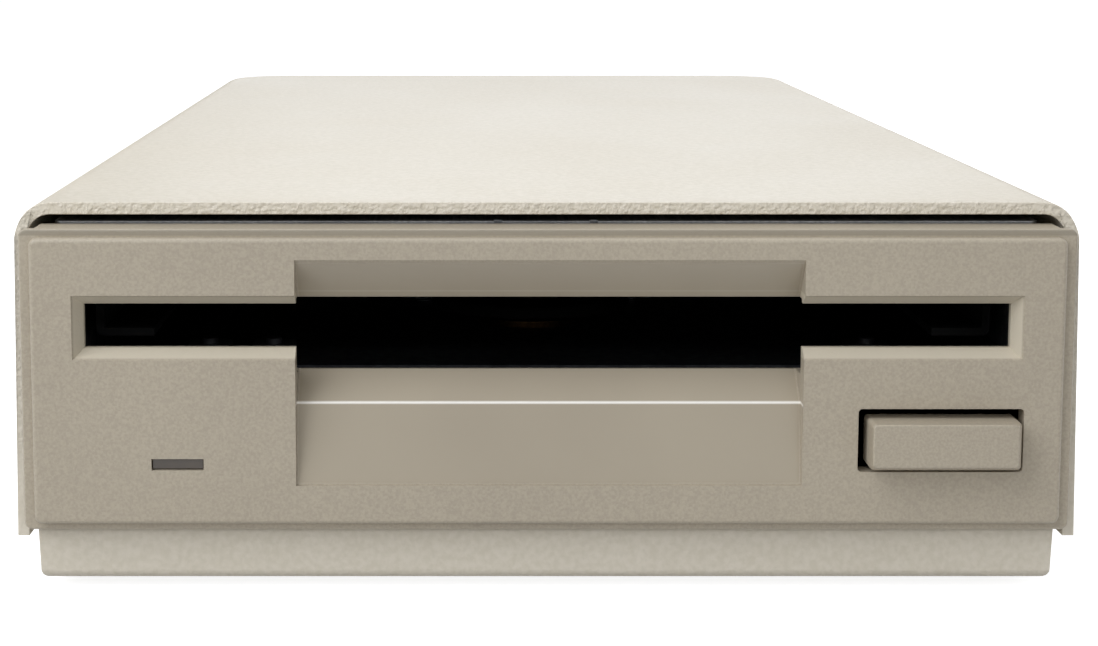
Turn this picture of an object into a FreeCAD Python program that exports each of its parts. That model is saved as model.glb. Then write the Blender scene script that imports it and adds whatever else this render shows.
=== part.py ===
import FreeCAD, Part
import math
import os

# External drive for 3.5-inch disks: a sheet-metal case round a complete disk drive.
# Millimetres. X is the width, +Y runs from the bezel to the back, +Z is up, and the
# rubber feet stand on Z = 0 with the origin under the middle of the whole object.

# Disk and the chain of widths that grows outwards from it
DISK_WIDTH = 90.0
DISK_SIDE_CLEARANCE = 0.5
HOLDER_SHEET = 0.8
HOLDER_SIDE_GAP = 0.5
SLIDE_SHEET = 0.8
SLIDE_SIDE_GAP = 0.25
CHASSIS_WALL = 1.4
CHASSIS_SIDE_GAP = 0.3
TRAY_SHEET = 0.8
COVER_SIDE_GAP = 1.3
COVER_SHEET = 1.2
FLANGE_OVERLAP = 0.3
FLANGE_SIDE_MARGIN = 1.15

# Heights, counted upwards
FOOT_HEIGHT = 2.0
CHASSIS_RISE = 5.4
CHASSIS_HEIGHT = 29.1
FACE_HEIGHT = 28.6
DECK_RISE = 9.6
DECK_THICKNESS = 2.0
HOLDER_FLOOR_GAP = 1.65
HOLDER_DROP = 3.5
SLOT_HEIGHT = 4.4
SLIDE_TOP_GAP = 1.85
SHIELD_SHEET = 0.5
COVER_TOP_GAP = 0.8
COVER_LOWER_EDGE = 3.7
FLANGE_TOP_MARGIN = 0.8
TRAY_WALL_HEIGHT = 18.0
TRAY_LIP_HEIGHT = 6.0

# Depths, counted backwards from the bezel's raised face
COVER_SETBACK = 2.0
TRAY_SETBACK = 2.5
TRAY_WALL_SETBACK = 4.0
SKIRT_DEPTH = 9.0
CHASSIS_TAIL = 12.0
LEAD_ROOM = 15.5
HOLDER_SETBACK = 12.0
HOLDER_LENGTH = 92.0
SLIDE_SETBACK = 20.0
SLIDE_LENGTH = 80.0
SPINDLE_DEPTH = 51.0
CONNECTOR_PROUD = 4.8

# Cover and tray forms
COVER_BEND = 3.4
COVER_REAR_CORNER = 12.0
COVER_REAR_WINDOW_MARGIN = 11.0
COVER_REAR_WINDOW_DROP = 7.0
TRAY_BEND = 1.0
CASE_GAP = 0.3
FIT = 1e-6
SOFT_EDGE = 0.3
COVER_SCREW_SHARES = (0.3, 0.8)
COVER_SCREW_RISE = 9.0
DIMPLE_RADIUS = 4.5
SCREW_RADIUS = 1.45
SCREW_HEAD_RADIUS = 2.7
SCREW_HEAD_HEIGHT = 1.0
SCREW_HOLE_CLEARANCE = 0.15
OVERCUT = 1.0
CHASSIS_SCREW_SHARES = (0.15, 0.8)
FOOT_RADIUS = 6.5
FOOT_FRONT_DEPTH = 22.0
FOOT_REAR_INSET = 32.0
FOOT_SIDE_INSET = 12.0
FOOT_STEM_RADIUS = 2.5

# Bezel forms
BEZEL_WALL = 2.2
BEZEL_CORNER = 0.8
BEZEL_EDGE_ROUND = 0.45
FLANGE_STEP = 1.0
FLANGE_THICKNESS = 0.8
LEDGE_DEPTH = 4.3
LEDGE_INSET = 1.5
SKIRT_WALL = 1.2
SKIRT_SIDE_GAP = 0.35
SKIRT_LIP_GAP = 0.4
SLOT_SIDE_MARGIN = 0.2
SLOT_BEVEL_WIDTH = 1.0
SLOT_BEVEL_DEPTH = 1.5
MOULDED_RIB = 1.0
SCOOP_LIP = 0.4
SCOOP_WIDTH = 50.0
SCOOP_SHIFT = 0.2
SCOOP_TOP_RISE = 26.5
SCOOP_TOP_SPREAD = 0.35
SCOOP_TOP_DEPTH = 3.5
SCOOP_LOW_SPREAD = 2.85
SCOOP_LOW_DEPTH = 5.0
SCOOP_CREASE_RISE = 11.6
SCOOP_CREASE_DEPTH = 1.4
SCOOP_CREASE_ROUND = 0.8
SCOOP_BOTTOM_RISE = 3.9
WINDOW_WIDTH = 5.15
WINDOW_HEIGHT = 1.15
WINDOW_X = -36.5
WINDOW_RISE = 6.05
LENS_RECESS = 0.35
LENS_FLANGE = 1.2
LENS_CLEARANCE = 0.05
LAMP_RADIUS = 1.5
LAMP_NOSE = 0.8
SNAP_X = 38.0
SNAP_WIDTH = 9.0
SNAP_HOOK = 1.0

# Eject button
BUTTON_WIDTH = 15.2
BUTTON_HEIGHT = 5.25
BUTTON_X = 38.8
BUTTON_RISE = 8.5
BUTTON_GAP = 0.55
BUTTON_PROUD = 2.7
BUTTON_DEPTH = 11.7
BUTTON_CHAMFER = 0.5
BUTTON_CHAMFER_DEPTH = 1.3
BUTTON_WALL = 1.2
BUTTON_CORNER = 0.4

# Loading mechanism
EJECT_TRAVEL = 5.0
PIN_RADIUS = 1.5
PIN_SLOT_CLEARANCE = 0.12
PIN_REACH = 2.6
PIN_SETBACK = 16.0
PIN_PITCH = 60.0
PIN_RISE = 2.35
HOLDER_LEDGE = 6.0
HOLDER_HEAD_GAP = 18.0
HOLDER_HEAD_SLOT = 37.0
HOLDER_FLARE = 1.2
SLIDE_CROSS_LENGTH = 34.0
SLIDE_ARM_WIDTH = 9.0
SLIDE_RUN_GAP = 0.3
SLIDE_FINGER_HEIGHT = 3.6
SLIDE_FINGER_WIDTH = 5.0
SLIDE_TAB_CORNER = 1.0
SLIDE_TAB_WIDTH = 13.0
LEVER_SHEET = 1.0
LEVER_INSET = 3.5
LEVER_WEB = 5.0
LEVER_MARGIN = 7.75
LEVER_SWING = 60.0
LEVER_GAP = 0.15
LEVER_HUB_RADIUS = 3.6
LEVER_ARM_WIDTH = 4.0
LEVER_FINGER_RADIUS = 1.2
LEVER_TIP_CORNER = 1.8
LEVER_ROOT_INSET = 0.4
LEVER_SLOT_CLEARANCE = 0.5
STUD_RADIUS = 1.5
RUNNING_CLEARANCE = 0.05

SPRING_X = 43.6
SPRING_RADIUS = 1.3
SPRING_WIRE = 0.5
SPRING_LENGTH = 20.0
SPRING_PEG_RADIUS = 0.8
SPRING_PEG_INSET = 2.0
SPRING_RIB_COUNT = 9

# Chassis forms
BEAM_DEPTH = 2.0
BEAM_RIGHT = 28.0
BOSS_CORNER = 0.8
DECK_TAB = 0.7
PLATE_CORNER = 2.0
DECK_SETBACK = 2.0
REAR_WALL_DROP = 8.0
TOP_TIE = 5.0
WALL_WINDOWS = ((36.0, 78.0), (98.0, 140.0))
WALL_WINDOW_INSET = 3.2
DECK_RIB_DEPTHS = (84.0, 100.0, 116.0)
DECK_RIB_LENGTH = 7.0
DECK_RIB_DROP = 3.5
ROD_BOSS_RISE = 2.4

# Spindle motor
SHAFT_RADIUS = 2.0
BEARING_RADIUS = 5.0
BEARING_BOSS_WALL = 1.8
BEARING_BOSS_DROP = 1.6
HUB_RADIUS = 12.0
HUB_THICKNESS = 1.4
HUB_TOP_RISE = 3.3
HUB_RING = 1.5
HUB_RING_SLOPE = 0.5
HUB_CROWN = 0.5
SHAFT_CONE = 0.6
HUB_NOSE_HEIGHT = 1.1
DRIVE_PIN_RADIUS = 1.0
DRIVE_PIN_OFFSET = 7.0
ROTOR_RADIUS = 25.0
ROTOR_SHEET = 0.9
ROTOR_HEIGHT = 4.8
ROTOR_GAP = 0.8
MAGNET_WALL = 2.4
MAGNET_HEIGHT = 3.4
COIL_COUNT = 9
CORE_RADIUS = 9.0
TOOTH_WIDTH = 2.6
TOOTH_HEIGHT = 1.2
COIL_GAP = 0.7
MOTOR_BOARD_SHEET = 1.2
MOTOR_BOARD_GAP = 0.6
MOTOR_BOARD_MARGIN = 4.0
MOTOR_POST_RADIUS = 2.6
MOTOR_POST_ANGLES = (20, 160, 225, 315)

# Heads and their drive
TRACK_COUNT = 80
TRACK_PITCH = 0.1875
OUTER_TRACK_RADIUS = 39.5
ROD_RADIUS = 1.5
ROD_X = 13.0
ROD_OVERHANG = 3.0
CARRIAGE_OPENING_HALF = 24.0
CARRIAGE_OPENING_GAP = 17.0
CARRIAGE_OPENING_TAIL = 3.0
OPENING_SIDE_GAP = 1.5
CARRIAGE_HALF_WIDTH = 11.0
CARRIAGE_FORWARD = 7.0
CARRIAGE_BEHIND = 36.0
CARRIAGE_FLOOR = 3.0
BUSH_RADIUS = 2.6
BUSH_LENGTH = 9.0
BUSH_SETBACK = 2.0
BUSH_TAIL = 4.0
CARRIAGE_NOSE = 6.0
HEAD_SIZE = 6.0
HEAD_PAD_HEIGHT = 1.0
HEAD_GAP = 0.1
HEAD_MARGIN = 1.0
HEAD_EDGE = 0.4
EAR_RADIUS = 3.0
EAR_WIDTH = 2.0
EAR_FOOT_HALF = 4.0
EAR_CORNER = 2.7
SENSOR_X = 28.0
SENSOR_WIDTH = 6.0
FLAG_SHEET = 0.6
SWITCH_PLACES = (-36.0, -29.0, 36.0)
SWITCH_WIDTH = 4.5
SWITCH_HEIGHT = 2.0
SWITCH_PLUNGER_RADIUS = 0.9
BRACKET_FOOT = 10.0
MEDIA_RISE = 4.6
ARM_WIDTH = 12.0
ARM_THICKNESS = 2.2
ARM_RIM = 1.5
ARM_BEND = 3.0
ARM_TIP_EDGE = 0.5
ARM_REACH = 32.0
ARM_PIN_RADIUS = 1.25
ARM_PIN_RISE = 8.6
ARM_SWING = 9.5
SCREW_X = 25.0
LEAD_SCREW_RADIUS = 1.5
COLLAR_RADIUS = 2.1
STEPPER_RADIUS = 8.0
STEPPER_LENGTH = 15.0
STEPPER_EDGE = 0.8
STEPPER_BORE_DEPTH = 5.0
LEAD_BLOCK_DROP = 1.0
STEPPER_BEHIND = 29.5
STEPPER_BRACKET = 1.2
END_BEARING_LENGTH = 3.0
END_BEARING_RADIUS = 2.6
END_BEARING_GAP = 4.0
NEEDLE_BEHIND = 13.0
NEEDLE_RADIUS = 0.6
NEEDLE_ARM_SHEET = 1.0
NEEDLE_ARM_HALF = 1.8
NEEDLE_ROOM_HALF = 3.0
FLAG_BEHIND = 22.0
FLAG_LENGTH = 4.0
SENSOR_JAW = 1.0
SCREW_TRAVEL_MARGIN = 4.0

# Boards, leads and rear panel
BOARD_THICKNESS = 1.6
SHIELD_NOTCH = 0.8
SHIELD_NOTCH_X = 4.8
CHIP_WIDTH = 7.0
CHIP_LENGTH = 18.0
CHIP_HEIGHT = 2.6
CHIP_CORNER = 0.5
CHIP_ROOM = 4.0
LOGIC_CHIP_X = (-36.0, -22.0, 2.0)
INTERFACE_CHIP_X = (-29.0, 8.0)
SOCKET_COUNT = 13
SOCKET_PITCH = 2.76
SOCKET_RISE = 1.42
SOCKET_RADIUS = 0.55
JACK_BORE = 1.4
HEX_SIDES = 6
LOGIC_BOARD_DROP = 0.2
LOGIC_BOARD_FRONT = 14.0
LOGIC_BOARD_INSET = 3.0
POST_RADIUS = 3.0
POST_INSET = 6.5
BOARD_SCREW_RADIUS = 1.2
BOARD_SCREW_LENGTH = 5.0
BOARD_SCREW_ROOM = 1.0
BOARD_HEAD_RADIUS = 2.4
BOARD_HEAD_HEIGHT = 0.84
HEADER_WIDTH = 50.0
HEADER_HEIGHT = 8.6
HEADER_DEPTH = 9.0
HEADER_WALL = 1.0
HEADER_X = -16.0
POWER_WIDTH = 12.0
POWER_X = 34.0
SOCKET_DEPTH = 5.0
RIBBON_WIDTH = 43.0
RIBBON_THICKNESS = 0.9
RIBBON_BEND = 3.0
LEAD_WIDTH = 8.0
LEAD_THICKNESS = 1.3
PANEL_SHEET = 1.0
PANEL_FOOT = 10.0
INTERFACE_BOARD_LENGTH = 34.0
INTERFACE_BOARD_WIDTH = 78.0
STANDOFF_HEIGHT = 6.0
STANDOFF_RADIUS = 2.6
STANDOFF_MARGIN = 1.0
CONNECTOR_WIDTH = 38.4
CONNECTOR_HEIGHT = 7.9
CONNECTOR_SLANT = 1.6
CONNECTOR_X = 10.0
CONNECTOR_SHELL = 0.5
CONNECTOR_EAR = 3.0
CONNECTOR_FLANGE_HEIGHT = 12.5
CONNECTOR_FLANGE = 0.9
CONNECTOR_BODY_DEPTH = 9.0
CONNECTOR_BODY_DROP = 1.0
JACK_ROOM = 8.6
JACK_RADIUS = 2.5
JACK_STEM_RADIUS = 1.0
JACK_PROUD = 4.6
GROMMET_X = -28.0
GROMMET_RADIUS = 6.0
GROMMET_BORE = 3.0
GROMMET_LIP = 1.5
GROMMET_GROOVE = 1.3

# Widths worked out from the disk outwards
holder_inner = DISK_WIDTH / 2 + DISK_SIDE_CLEARANCE
holder_outer = holder_inner + HOLDER_SHEET
slide_inner = holder_outer + HOLDER_SIDE_GAP
slide_outer = slide_inner + SLIDE_SHEET
chassis_inner = slide_outer + SLIDE_SIDE_GAP
chassis_outer = chassis_inner + CHASSIS_WALL
tray_inner = chassis_outer + CHASSIS_SIDE_GAP
tray_outer = tray_inner + TRAY_SHEET
cover_inner = tray_outer + COVER_SIDE_GAP
cover_outer = cover_inner + COVER_SHEET
flange_half = cover_inner + FLANGE_OVERLAP
face_half = flange_half - FLANGE_SIDE_MARGIN
lever_x = holder_inner - LEVER_INSET
lever_reach = lever_x - HOLDER_HEAD_GAP / 2 - LEVER_WEB
jack_pitch = CONNECTOR_WIDTH + JACK_ROOM

# Heights worked out from the feet upwards
base_z = FOOT_HEIGHT
tray_floor = base_z + TRAY_SHEET
chassis_bottom = base_z + CHASSIS_RISE
chassis_top = chassis_bottom + CHASSIS_HEIGHT
face_top = chassis_bottom + FACE_HEIGHT
deck_bottom = chassis_bottom + DECK_RISE
deck_top = deck_bottom + DECK_THICKNESS
holder_bottom = deck_top + HOLDER_FLOOR_GAP + HOLDER_DROP
slot_bottom = holder_bottom + HOLDER_SHEET
slot_top = slot_bottom + SLOT_HEIGHT
holder_top = slot_top + HOLDER_SHEET
slide_plate_bottom = holder_top + SLIDE_TOP_GAP
slide_plate_top = slide_plate_bottom + SLIDE_SHEET
shield_top = chassis_top + SHIELD_SHEET
cover_under = shield_top + COVER_TOP_GAP
cover_top = cover_under + COVER_SHEET
cover_foot = base_z + COVER_LOWER_EDGE
lip_top = base_z + TRAY_LIP_HEIGHT
board_top = chassis_bottom - LOGIC_BOARD_DROP
board_bottom = board_top - BOARD_THICKNESS

# Depths worked out backwards from the raised face: first as distances from it, to find the
# whole length, and then as places with the whole object centred on Y = 0
head_depth = SPINDLE_DEPTH + OUTER_TRACK_RADIUS
opening_depth = head_depth + STEPPER_BEHIND + STEPPER_LENGTH + CARRIAGE_OPENING_TAIL
chassis_depth = opening_depth + CHASSIS_TAIL
case_depth = chassis_depth + LEAD_ROOM + INTERFACE_BOARD_LENGTH + CASE_GAP + PANEL_SHEET + COVER_SHEET
total_length = BUTTON_PROUD + case_depth + CONNECTOR_PROUD
face_y = BUTTON_PROUD - total_length / 2
cover_front = face_y + COVER_SETBACK
cover_rear = face_y + case_depth
cover_rear_inside = cover_rear - COVER_SHEET
tray_front = face_y + TRAY_SETBACK
ledge_rear = face_y + FLANGE_STEP + LEDGE_DEPTH
chassis_front = face_y + SKIRT_DEPTH
chassis_rear = face_y + chassis_depth
holder_front = face_y + HOLDER_SETBACK
holder_rear = holder_front + HOLDER_LENGTH
slide_front = face_y + SLIDE_SETBACK
slide_rear = slide_front + SLIDE_LENGTH
spindle_y = face_y + SPINDLE_DEPTH
head_y = face_y + head_depth
opening_front = spindle_y + CARRIAGE_OPENING_GAP
opening_rear = face_y + opening_depth
stepper_front = head_y + STEPPER_BEHIND
lever_y = holder_rear - lever_reach * math.sin(math.radians(LEVER_SWING)) - LEVER_MARGIN
interface_front = chassis_rear + LEAD_ROOM
panel_rear = cover_rear_inside
panel_front = panel_rear - PANEL_SHEET
rod_z = (deck_bottom + deck_top) / 2


def outline(corners, place):
    """Closed wire through (u, v, radius) corners, each rounded by a tangent arc."""
    points = [FreeCAD.Vector(u, v, 0) for u, v, radius in corners]
    stretches = []
    for i, (u, v, radius) in enumerate(corners):
        before = (points[i - 1] - points[i]).normalize()
        after = (points[(i + 1) % len(points)] - points[i]).normalize()
        if radius <= 0:
            stretches.append((points[i], None, points[i]))
            continue
        half = before.getAngle(after) / 2
        reach = radius / math.tan(half)
        middle = (before + after).normalize() * (radius / math.sin(half) - radius)
        stretches.append((points[i] + before * reach, points[i] + middle, points[i] + after * reach))
    edges = []
    for i, (start, middle, end) in enumerate(stretches):
        if middle is not None:
            edges.append(Part.Arc(place(start), place(middle), place(end)).toShape())
        following = stretches[(i + 1) % len(stretches)][0]
        if end.distanceToPoint(following) > FIT:
            edges.append(Part.makeLine(place(end), place(following)))
    return Part.Wire(edges)


def extrude_x(corners, x0, x1):
    """Solid from a side outline of (y, z, radius) corners."""
    wire = outline(corners, lambda p: FreeCAD.Vector(x0, p.x, p.y))
    return Part.Face(wire).extrude(FreeCAD.Vector(x1 - x0, 0, 0))


def extrude_y(corners, y0, y1):
    """Solid from a front outline of (x, z, radius) corners."""
    wire = outline(corners, lambda p: FreeCAD.Vector(p.x, y0, p.y))
    return Part.Face(wire).extrude(FreeCAD.Vector(0, y1 - y0, 0))


def extrude_z(corners, z0, z1):
    """Solid from a plan outline of (x, y, radius) corners."""
    wire = outline(corners, lambda p: FreeCAD.Vector(p.x, p.y, z0))
    return Part.Face(wire).extrude(FreeCAD.Vector(0, 0, z1 - z0))


def rectangle(u0, u1, v0, v1, radius=0):
    return [(u0, v0, radius), (u1, v0, radius), (u1, v1, radius), (u0, v1, radius)]


def block(x0, x1, y0, y1, z0, z1):
    low = FreeCAD.Vector(min(x0, x1), min(y0, y1), min(z0, z1))
    return Part.makeBox(abs(x1 - x0), abs(y1 - y0), abs(z1 - z0), low)


def upright_rod(radius, x, y, z0, z1):
    return Part.makeCylinder(radius, z1 - z0, FreeCAD.Vector(x, y, z0))


def long_rod(radius, x, z, y0, y1):
    return Part.makeCylinder(radius, y1 - y0, FreeCAD.Vector(x, y0, z), FreeCAD.Vector(0, 1, 0))


def cross_rod(radius, y, z, x0, x1):
    start = FreeCAD.Vector(min(x0, x1), y, z)
    return Part.makeCylinder(radius, abs(x1 - x0), start, FreeCAD.Vector(1, 0, 0))


def revolve(corners, x, y):
    """Solid of revolution about an upright axis from (radius, z, rounding) corners."""
    wire = outline(corners, lambda p: FreeCAD.Vector(x + p.x, y, p.y))
    return Part.Face(wire).revolve(FreeCAD.Vector(x, y, 0), FreeCAD.Vector(0, 0, 1), 360)


def joined(shapes):
    return shapes[0].multiFuse(shapes[1:]).removeSplitter()


def edges_where(shape, wanted):
    return [edge for edge in shape.Edges if wanted(edge)]


def save(name, shapes):
    """Write one node, whose shapes stay separate solids."""
    shape = shapes[0] if len(shapes) == 1 else Part.makeCompound(shapes)
    if not shape.isValid():
        raise ValueError(name + " is not a valid shape")
    shape.exportStep("parts/" + name + ".step")


def hood(half_width, y0, y1, z0, z1, corner, bend):
    """Rounded block: both rear corners and the top's rim are rounded, the front stays square."""
    body = block(-half_width, half_width, y0, y1, z0, z1)
    rear_corners = edges_where(
        body,
        lambda e: abs(e.CenterOfMass.y - y1) < FIT and abs(e.CenterOfMass.x) > half_width - FIT,
    )
    body = body.makeFillet(corner, rear_corners)
    rim = edges_where(body, lambda e: e.BoundBox.ZMin > z1 - FIT and e.CenterOfMass.y > y0 + FIT)
    return body.makeFillet(bend, rim)


def cover_screw_depths():
    return [case_depth * share for share in COVER_SCREW_SHARES]


def make_cover():
    """Five-sided hood of painted steel sheet: top, sides and a back with rounded corners."""
    outside = hood(cover_outer, cover_front, cover_rear, cover_foot, cover_top, COVER_REAR_CORNER, COVER_BEND)
    inside = hood(
        cover_inner,
        cover_front - OVERCUT,
        cover_rear_inside,
        cover_foot - OVERCUT,
        cover_under,
        COVER_REAR_CORNER - COVER_SHEET,
        COVER_BEND - COVER_SHEET,
    )
    window_half = cover_inner - COVER_REAR_WINDOW_MARGIN
    window_top = cover_top - COVER_REAR_WINDOW_DROP
    window = extrude_y(
        [
            (-window_half, cover_foot - OVERCUT, 0),
            (window_half, cover_foot - OVERCUT, 0),
            (window_half, window_top, COVER_SHEET),
            (-window_half, window_top, COVER_SHEET),
        ],
        cover_rear_inside - OVERCUT,
        cover_rear + OVERCUT,
    )
    cover = outside.cut([inside, window])
    for depth in cover_screw_depths():
        hole = cross_rod(
            SCREW_RADIUS + SCREW_HOLE_CLEARANCE,
            face_y + depth,
            base_z + COVER_SCREW_RISE,
            -cover_outer - OVERCUT,
            cover_outer + OVERCUT,
        )
        cover = cover.cut(hole)
    return cover


def make_tray():
    """Base tray: pan with a front lip, low rear lip, tall side walls and pressed screw dimples."""
    tray_corner = COVER_REAR_CORNER - COVER_SHEET - COVER_SIDE_GAP
    tray_rear = panel_rear - CASE_GAP

    def pan(half, front, rear, bottom, top, corner):
        body = block(-half, half, front, rear, bottom, top)
        uprights = edges_where(
            body,
            lambda e: abs(e.CenterOfMass.y - rear) < FIT and abs(e.CenterOfMass.x) > half - FIT,
        )
        return body.makeFillet(corner, uprights)

    wall_top = base_z + TRAY_WALL_HEIGHT
    outside = pan(tray_outer, tray_front, tray_rear, base_z, wall_top, tray_corner)
    rim = edges_where(outside, lambda e: e.BoundBox.ZMax < base_z + FIT)
    outside = outside.makeFillet(TRAY_BEND, rim)
    inside = pan(
        tray_inner,
        tray_front + TRAY_SHEET,
        tray_rear - TRAY_SHEET,
        tray_floor,
        wall_top + TRAY_SHEET,
        tray_corner - TRAY_SHEET,
    )
    tray = outside.cut(inside)
    front_cut = block(
        -tray_outer, tray_outer, tray_front, tray_front + TRAY_WALL_SETBACK, lip_top, wall_top
    )
    rear_cut = block(
        -tray_outer,
        tray_outer,
        tray_rear - tray_corner,
        tray_rear,
        tray_floor,
        wall_top,
    )
    tray = tray.cut([front_cut, rear_cut])
    screw_z = base_z + COVER_SCREW_RISE
    for depth in cover_screw_depths():
        for side in (-1, 1):
            dimple = cross_rod(
                DIMPLE_RADIUS, face_y + depth, screw_z, side * tray_outer, side * cover_inner
            )
            tray = tray.fuse(dimple)
        hole = cross_rod(
            SCREW_RADIUS + RUNNING_CLEARANCE, face_y + depth, screw_z, -cover_inner, cover_inner
        )
        tray = tray.cut(hole)
    for y, z in chassis_screw_places():
        tray = tray.cut(
            cross_rod(SCREW_RADIUS + SCREW_HOLE_CLEARANCE, y, z, -tray_outer, tray_outer)
        )
    for x, y in foot_places():
        hole = upright_rod(FOOT_STEM_RADIUS, x, y, base_z - TRAY_SHEET, tray_floor + TRAY_SHEET)
        tray = tray.cut(hole)
    return tray.removeSplitter()


def chassis_screw_places():
    screw_z = (chassis_bottom + base_z + TRAY_WALL_HEIGHT) / 2
    length = chassis_rear - chassis_front
    return [(chassis_front + length * share, screw_z) for share in CHASSIS_SCREW_SHARES]


def foot_places():
    return [
        (side * (tray_outer - FOOT_SIDE_INSET), y)
        for side in (-1, 1)
        for y in (face_y + FOOT_FRONT_DEPTH, cover_rear - FOOT_REAR_INSET)
    ]


def make_foot(x, y):
    """Turned rubber foot, pushed through the tray with a stem that has a small barb."""
    return revolve(
        [
            (0, 0, 0),
            (FOOT_RADIUS - SOFT_EDGE, 0, SOFT_EDGE),
            (FOOT_RADIUS, base_z, 0),
            (FOOT_STEM_RADIUS, base_z, 0),
            (FOOT_STEM_RADIUS, tray_floor, 0),
            (FOOT_STEM_RADIUS + CASE_GAP, tray_floor, 0),
            (FOOT_STEM_RADIUS - CASE_GAP, tray_floor + 2 * CASE_GAP, 0),
            (0, tray_floor + 2 * CASE_GAP, 0),
        ],
        x,
        y,
    )


def make_side_screw(side, seat, y, z, length):
    """Pan-head screw that enters a side wall; its head sits on the face at seat."""
    start = FreeCAD.Vector(side * seat, y, z)
    head = Part.makeCylinder(SCREW_HEAD_RADIUS, SCREW_HEAD_HEIGHT, start, FreeCAD.Vector(side, 0, 0))
    outer_rim = seat + SCREW_HEAD_HEIGHT - FIT
    crown = edges_where(head, lambda e: abs(e.CenterOfMass.x) > outer_rim and len(e.Vertexes) == 1)
    head = head.makeFillet(SCREW_HEAD_HEIGHT / 2, crown)
    shank = cross_rod(SCREW_RADIUS, y, z, side * seat, side * (seat - length))
    return head.fuse(shank)


def make_cover_screws():
    length = cover_outer - tray_inner - RUNNING_CLEARANCE
    return [
        make_side_screw(side, cover_outer, face_y + depth, base_z + COVER_SCREW_RISE, length)
        for side in (-1, 1)
        for depth in cover_screw_depths()
    ]


def make_chassis_screws():
    length = tray_outer - chassis_inner - RUNNING_CLEARANCE
    return [
        make_side_screw(side, tray_outer, y, z, length)
        for side in (-1, 1)
        for y, z in chassis_screw_places()
    ]


def panel_outline_half():
    return cover_inner - COVER_REAR_CORNER


def connector_z():
    """Height of the rear connector's centre, set by the board that it stands on."""
    return tray_floor + STANDOFF_HEIGHT + BOARD_THICKNESS + CONNECTOR_FLANGE_HEIGHT / 2


def connector_outline(margin):
    """D outline of the connector, grown by a margin: wider at the top than below."""
    half = CONNECTOR_WIDTH / 2 + margin
    low = connector_z() - CONNECTOR_HEIGHT / 2 - margin
    high = connector_z() + CONNECTOR_HEIGHT / 2 + margin
    corner = CONNECTOR_SLANT + margin
    return [
        (CONNECTOR_X - half + CONNECTOR_SLANT, low, corner),
        (CONNECTOR_X + half - CONNECTOR_SLANT, low, corner),
        (CONNECTOR_X + half, high, corner),
        (CONNECTOR_X - half, high, corner),
    ]


def jack_places():
    return [(CONNECTOR_X + side * jack_pitch / 2, connector_z()) for side in (-1, 1)]


def grommet_z():
    return connector_z()


def make_rear_panel():
    """Rear panel: bent foot on the tray, D cut-out, jack holes and a round cable inlet."""
    half = panel_outline_half()
    plate = extrude_y(
        rectangle(-half, half, tray_floor, cover_under - COVER_BEND, PANEL_SHEET / 2),
        panel_front,
        panel_rear,
    )
    foot = block(-half, half, panel_rear - PANEL_FOOT, panel_rear, tray_floor, tray_floor + PANEL_SHEET)
    panel = joined([plate, foot])
    front = panel_front - OVERCUT
    rear = panel_rear + OVERCUT
    holes = [
        extrude_y(connector_outline(CASE_GAP), front, rear),
        long_rod(GROMMET_RADIUS - GROMMET_LIP, GROMMET_X, grommet_z(), front, rear),
    ]
    for x, z in jack_places():
        holes.append(long_rod(JACK_STEM_RADIUS + SCREW_HOLE_CLEARANCE, x, z, front, rear))
    return panel.cut(holes)


def make_grommet():
    """Rubber inlet ring: a groove round its middle holds the rear panel's edge."""
    neck = GROMMET_RADIUS - GROMMET_LIP
    low = -GROMMET_GROOVE
    high = PANEL_SHEET + GROMMET_GROOVE
    ring = revolve(
        [
            (GROMMET_BORE, low, SOFT_EDGE),
            (GROMMET_RADIUS, low, SOFT_EDGE),
            (GROMMET_RADIUS, 0, 0),
            (neck, 0, 0),
            (neck, PANEL_SHEET, 0),
            (GROMMET_RADIUS, PANEL_SHEET, 0),
            (GROMMET_RADIUS, high, SOFT_EDGE),
            (GROMMET_BORE, high, SOFT_EDGE),
        ],
        0,
        0,
    )
    ring.rotate(FreeCAD.Vector(0, 0, 0), FreeCAD.Vector(1, 0, 0), -90)
    ring.translate(FreeCAD.Vector(GROMMET_X, panel_front, grommet_z()))
    return ring


def scoop_sides():
    return SCOOP_SHIFT - SCOOP_WIDTH / 2, SCOOP_SHIFT + SCOOP_WIDTH / 2


def make_scoop_backing(scoop_low, scoop_high, crease_z, mouth_low, mouth_high):
    """Moulded walls behind the two slopes of the finger scoop, above and below the disk's way in."""
    left, right = scoop_sides()
    inside = face_y + FLANGE_STEP
    behind = face_y + BEZEL_WALL
    low_lip = face_y + SCOOP_LOW_DEPTH + SCOOP_LIP
    high_lip = face_y + SCOOP_TOP_DEPTH + SCOOP_LIP
    below = [
        (inside, scoop_low - MOULDED_RIB, 0),
        (behind, scoop_low - MOULDED_RIB, 0),
        (face_y + SCOOP_CREASE_DEPTH + BEZEL_WALL, crease_z - MOULDED_RIB, MOULDED_RIB),
        (low_lip, mouth_low - MOULDED_RIB, 0),
        (low_lip, mouth_low, 0),
        (inside, mouth_low, 0),
    ]
    above = [
        (inside, mouth_high, 0),
        (high_lip, mouth_high, 0),
        (high_lip, mouth_high + MOULDED_RIB, 0),
        (behind, scoop_high, 0),
        (inside, scoop_high, 0),
    ]
    return [extrude_x(corners, left - MOULDED_RIB, right + MOULDED_RIB) for corners in (below, above)]


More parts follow.
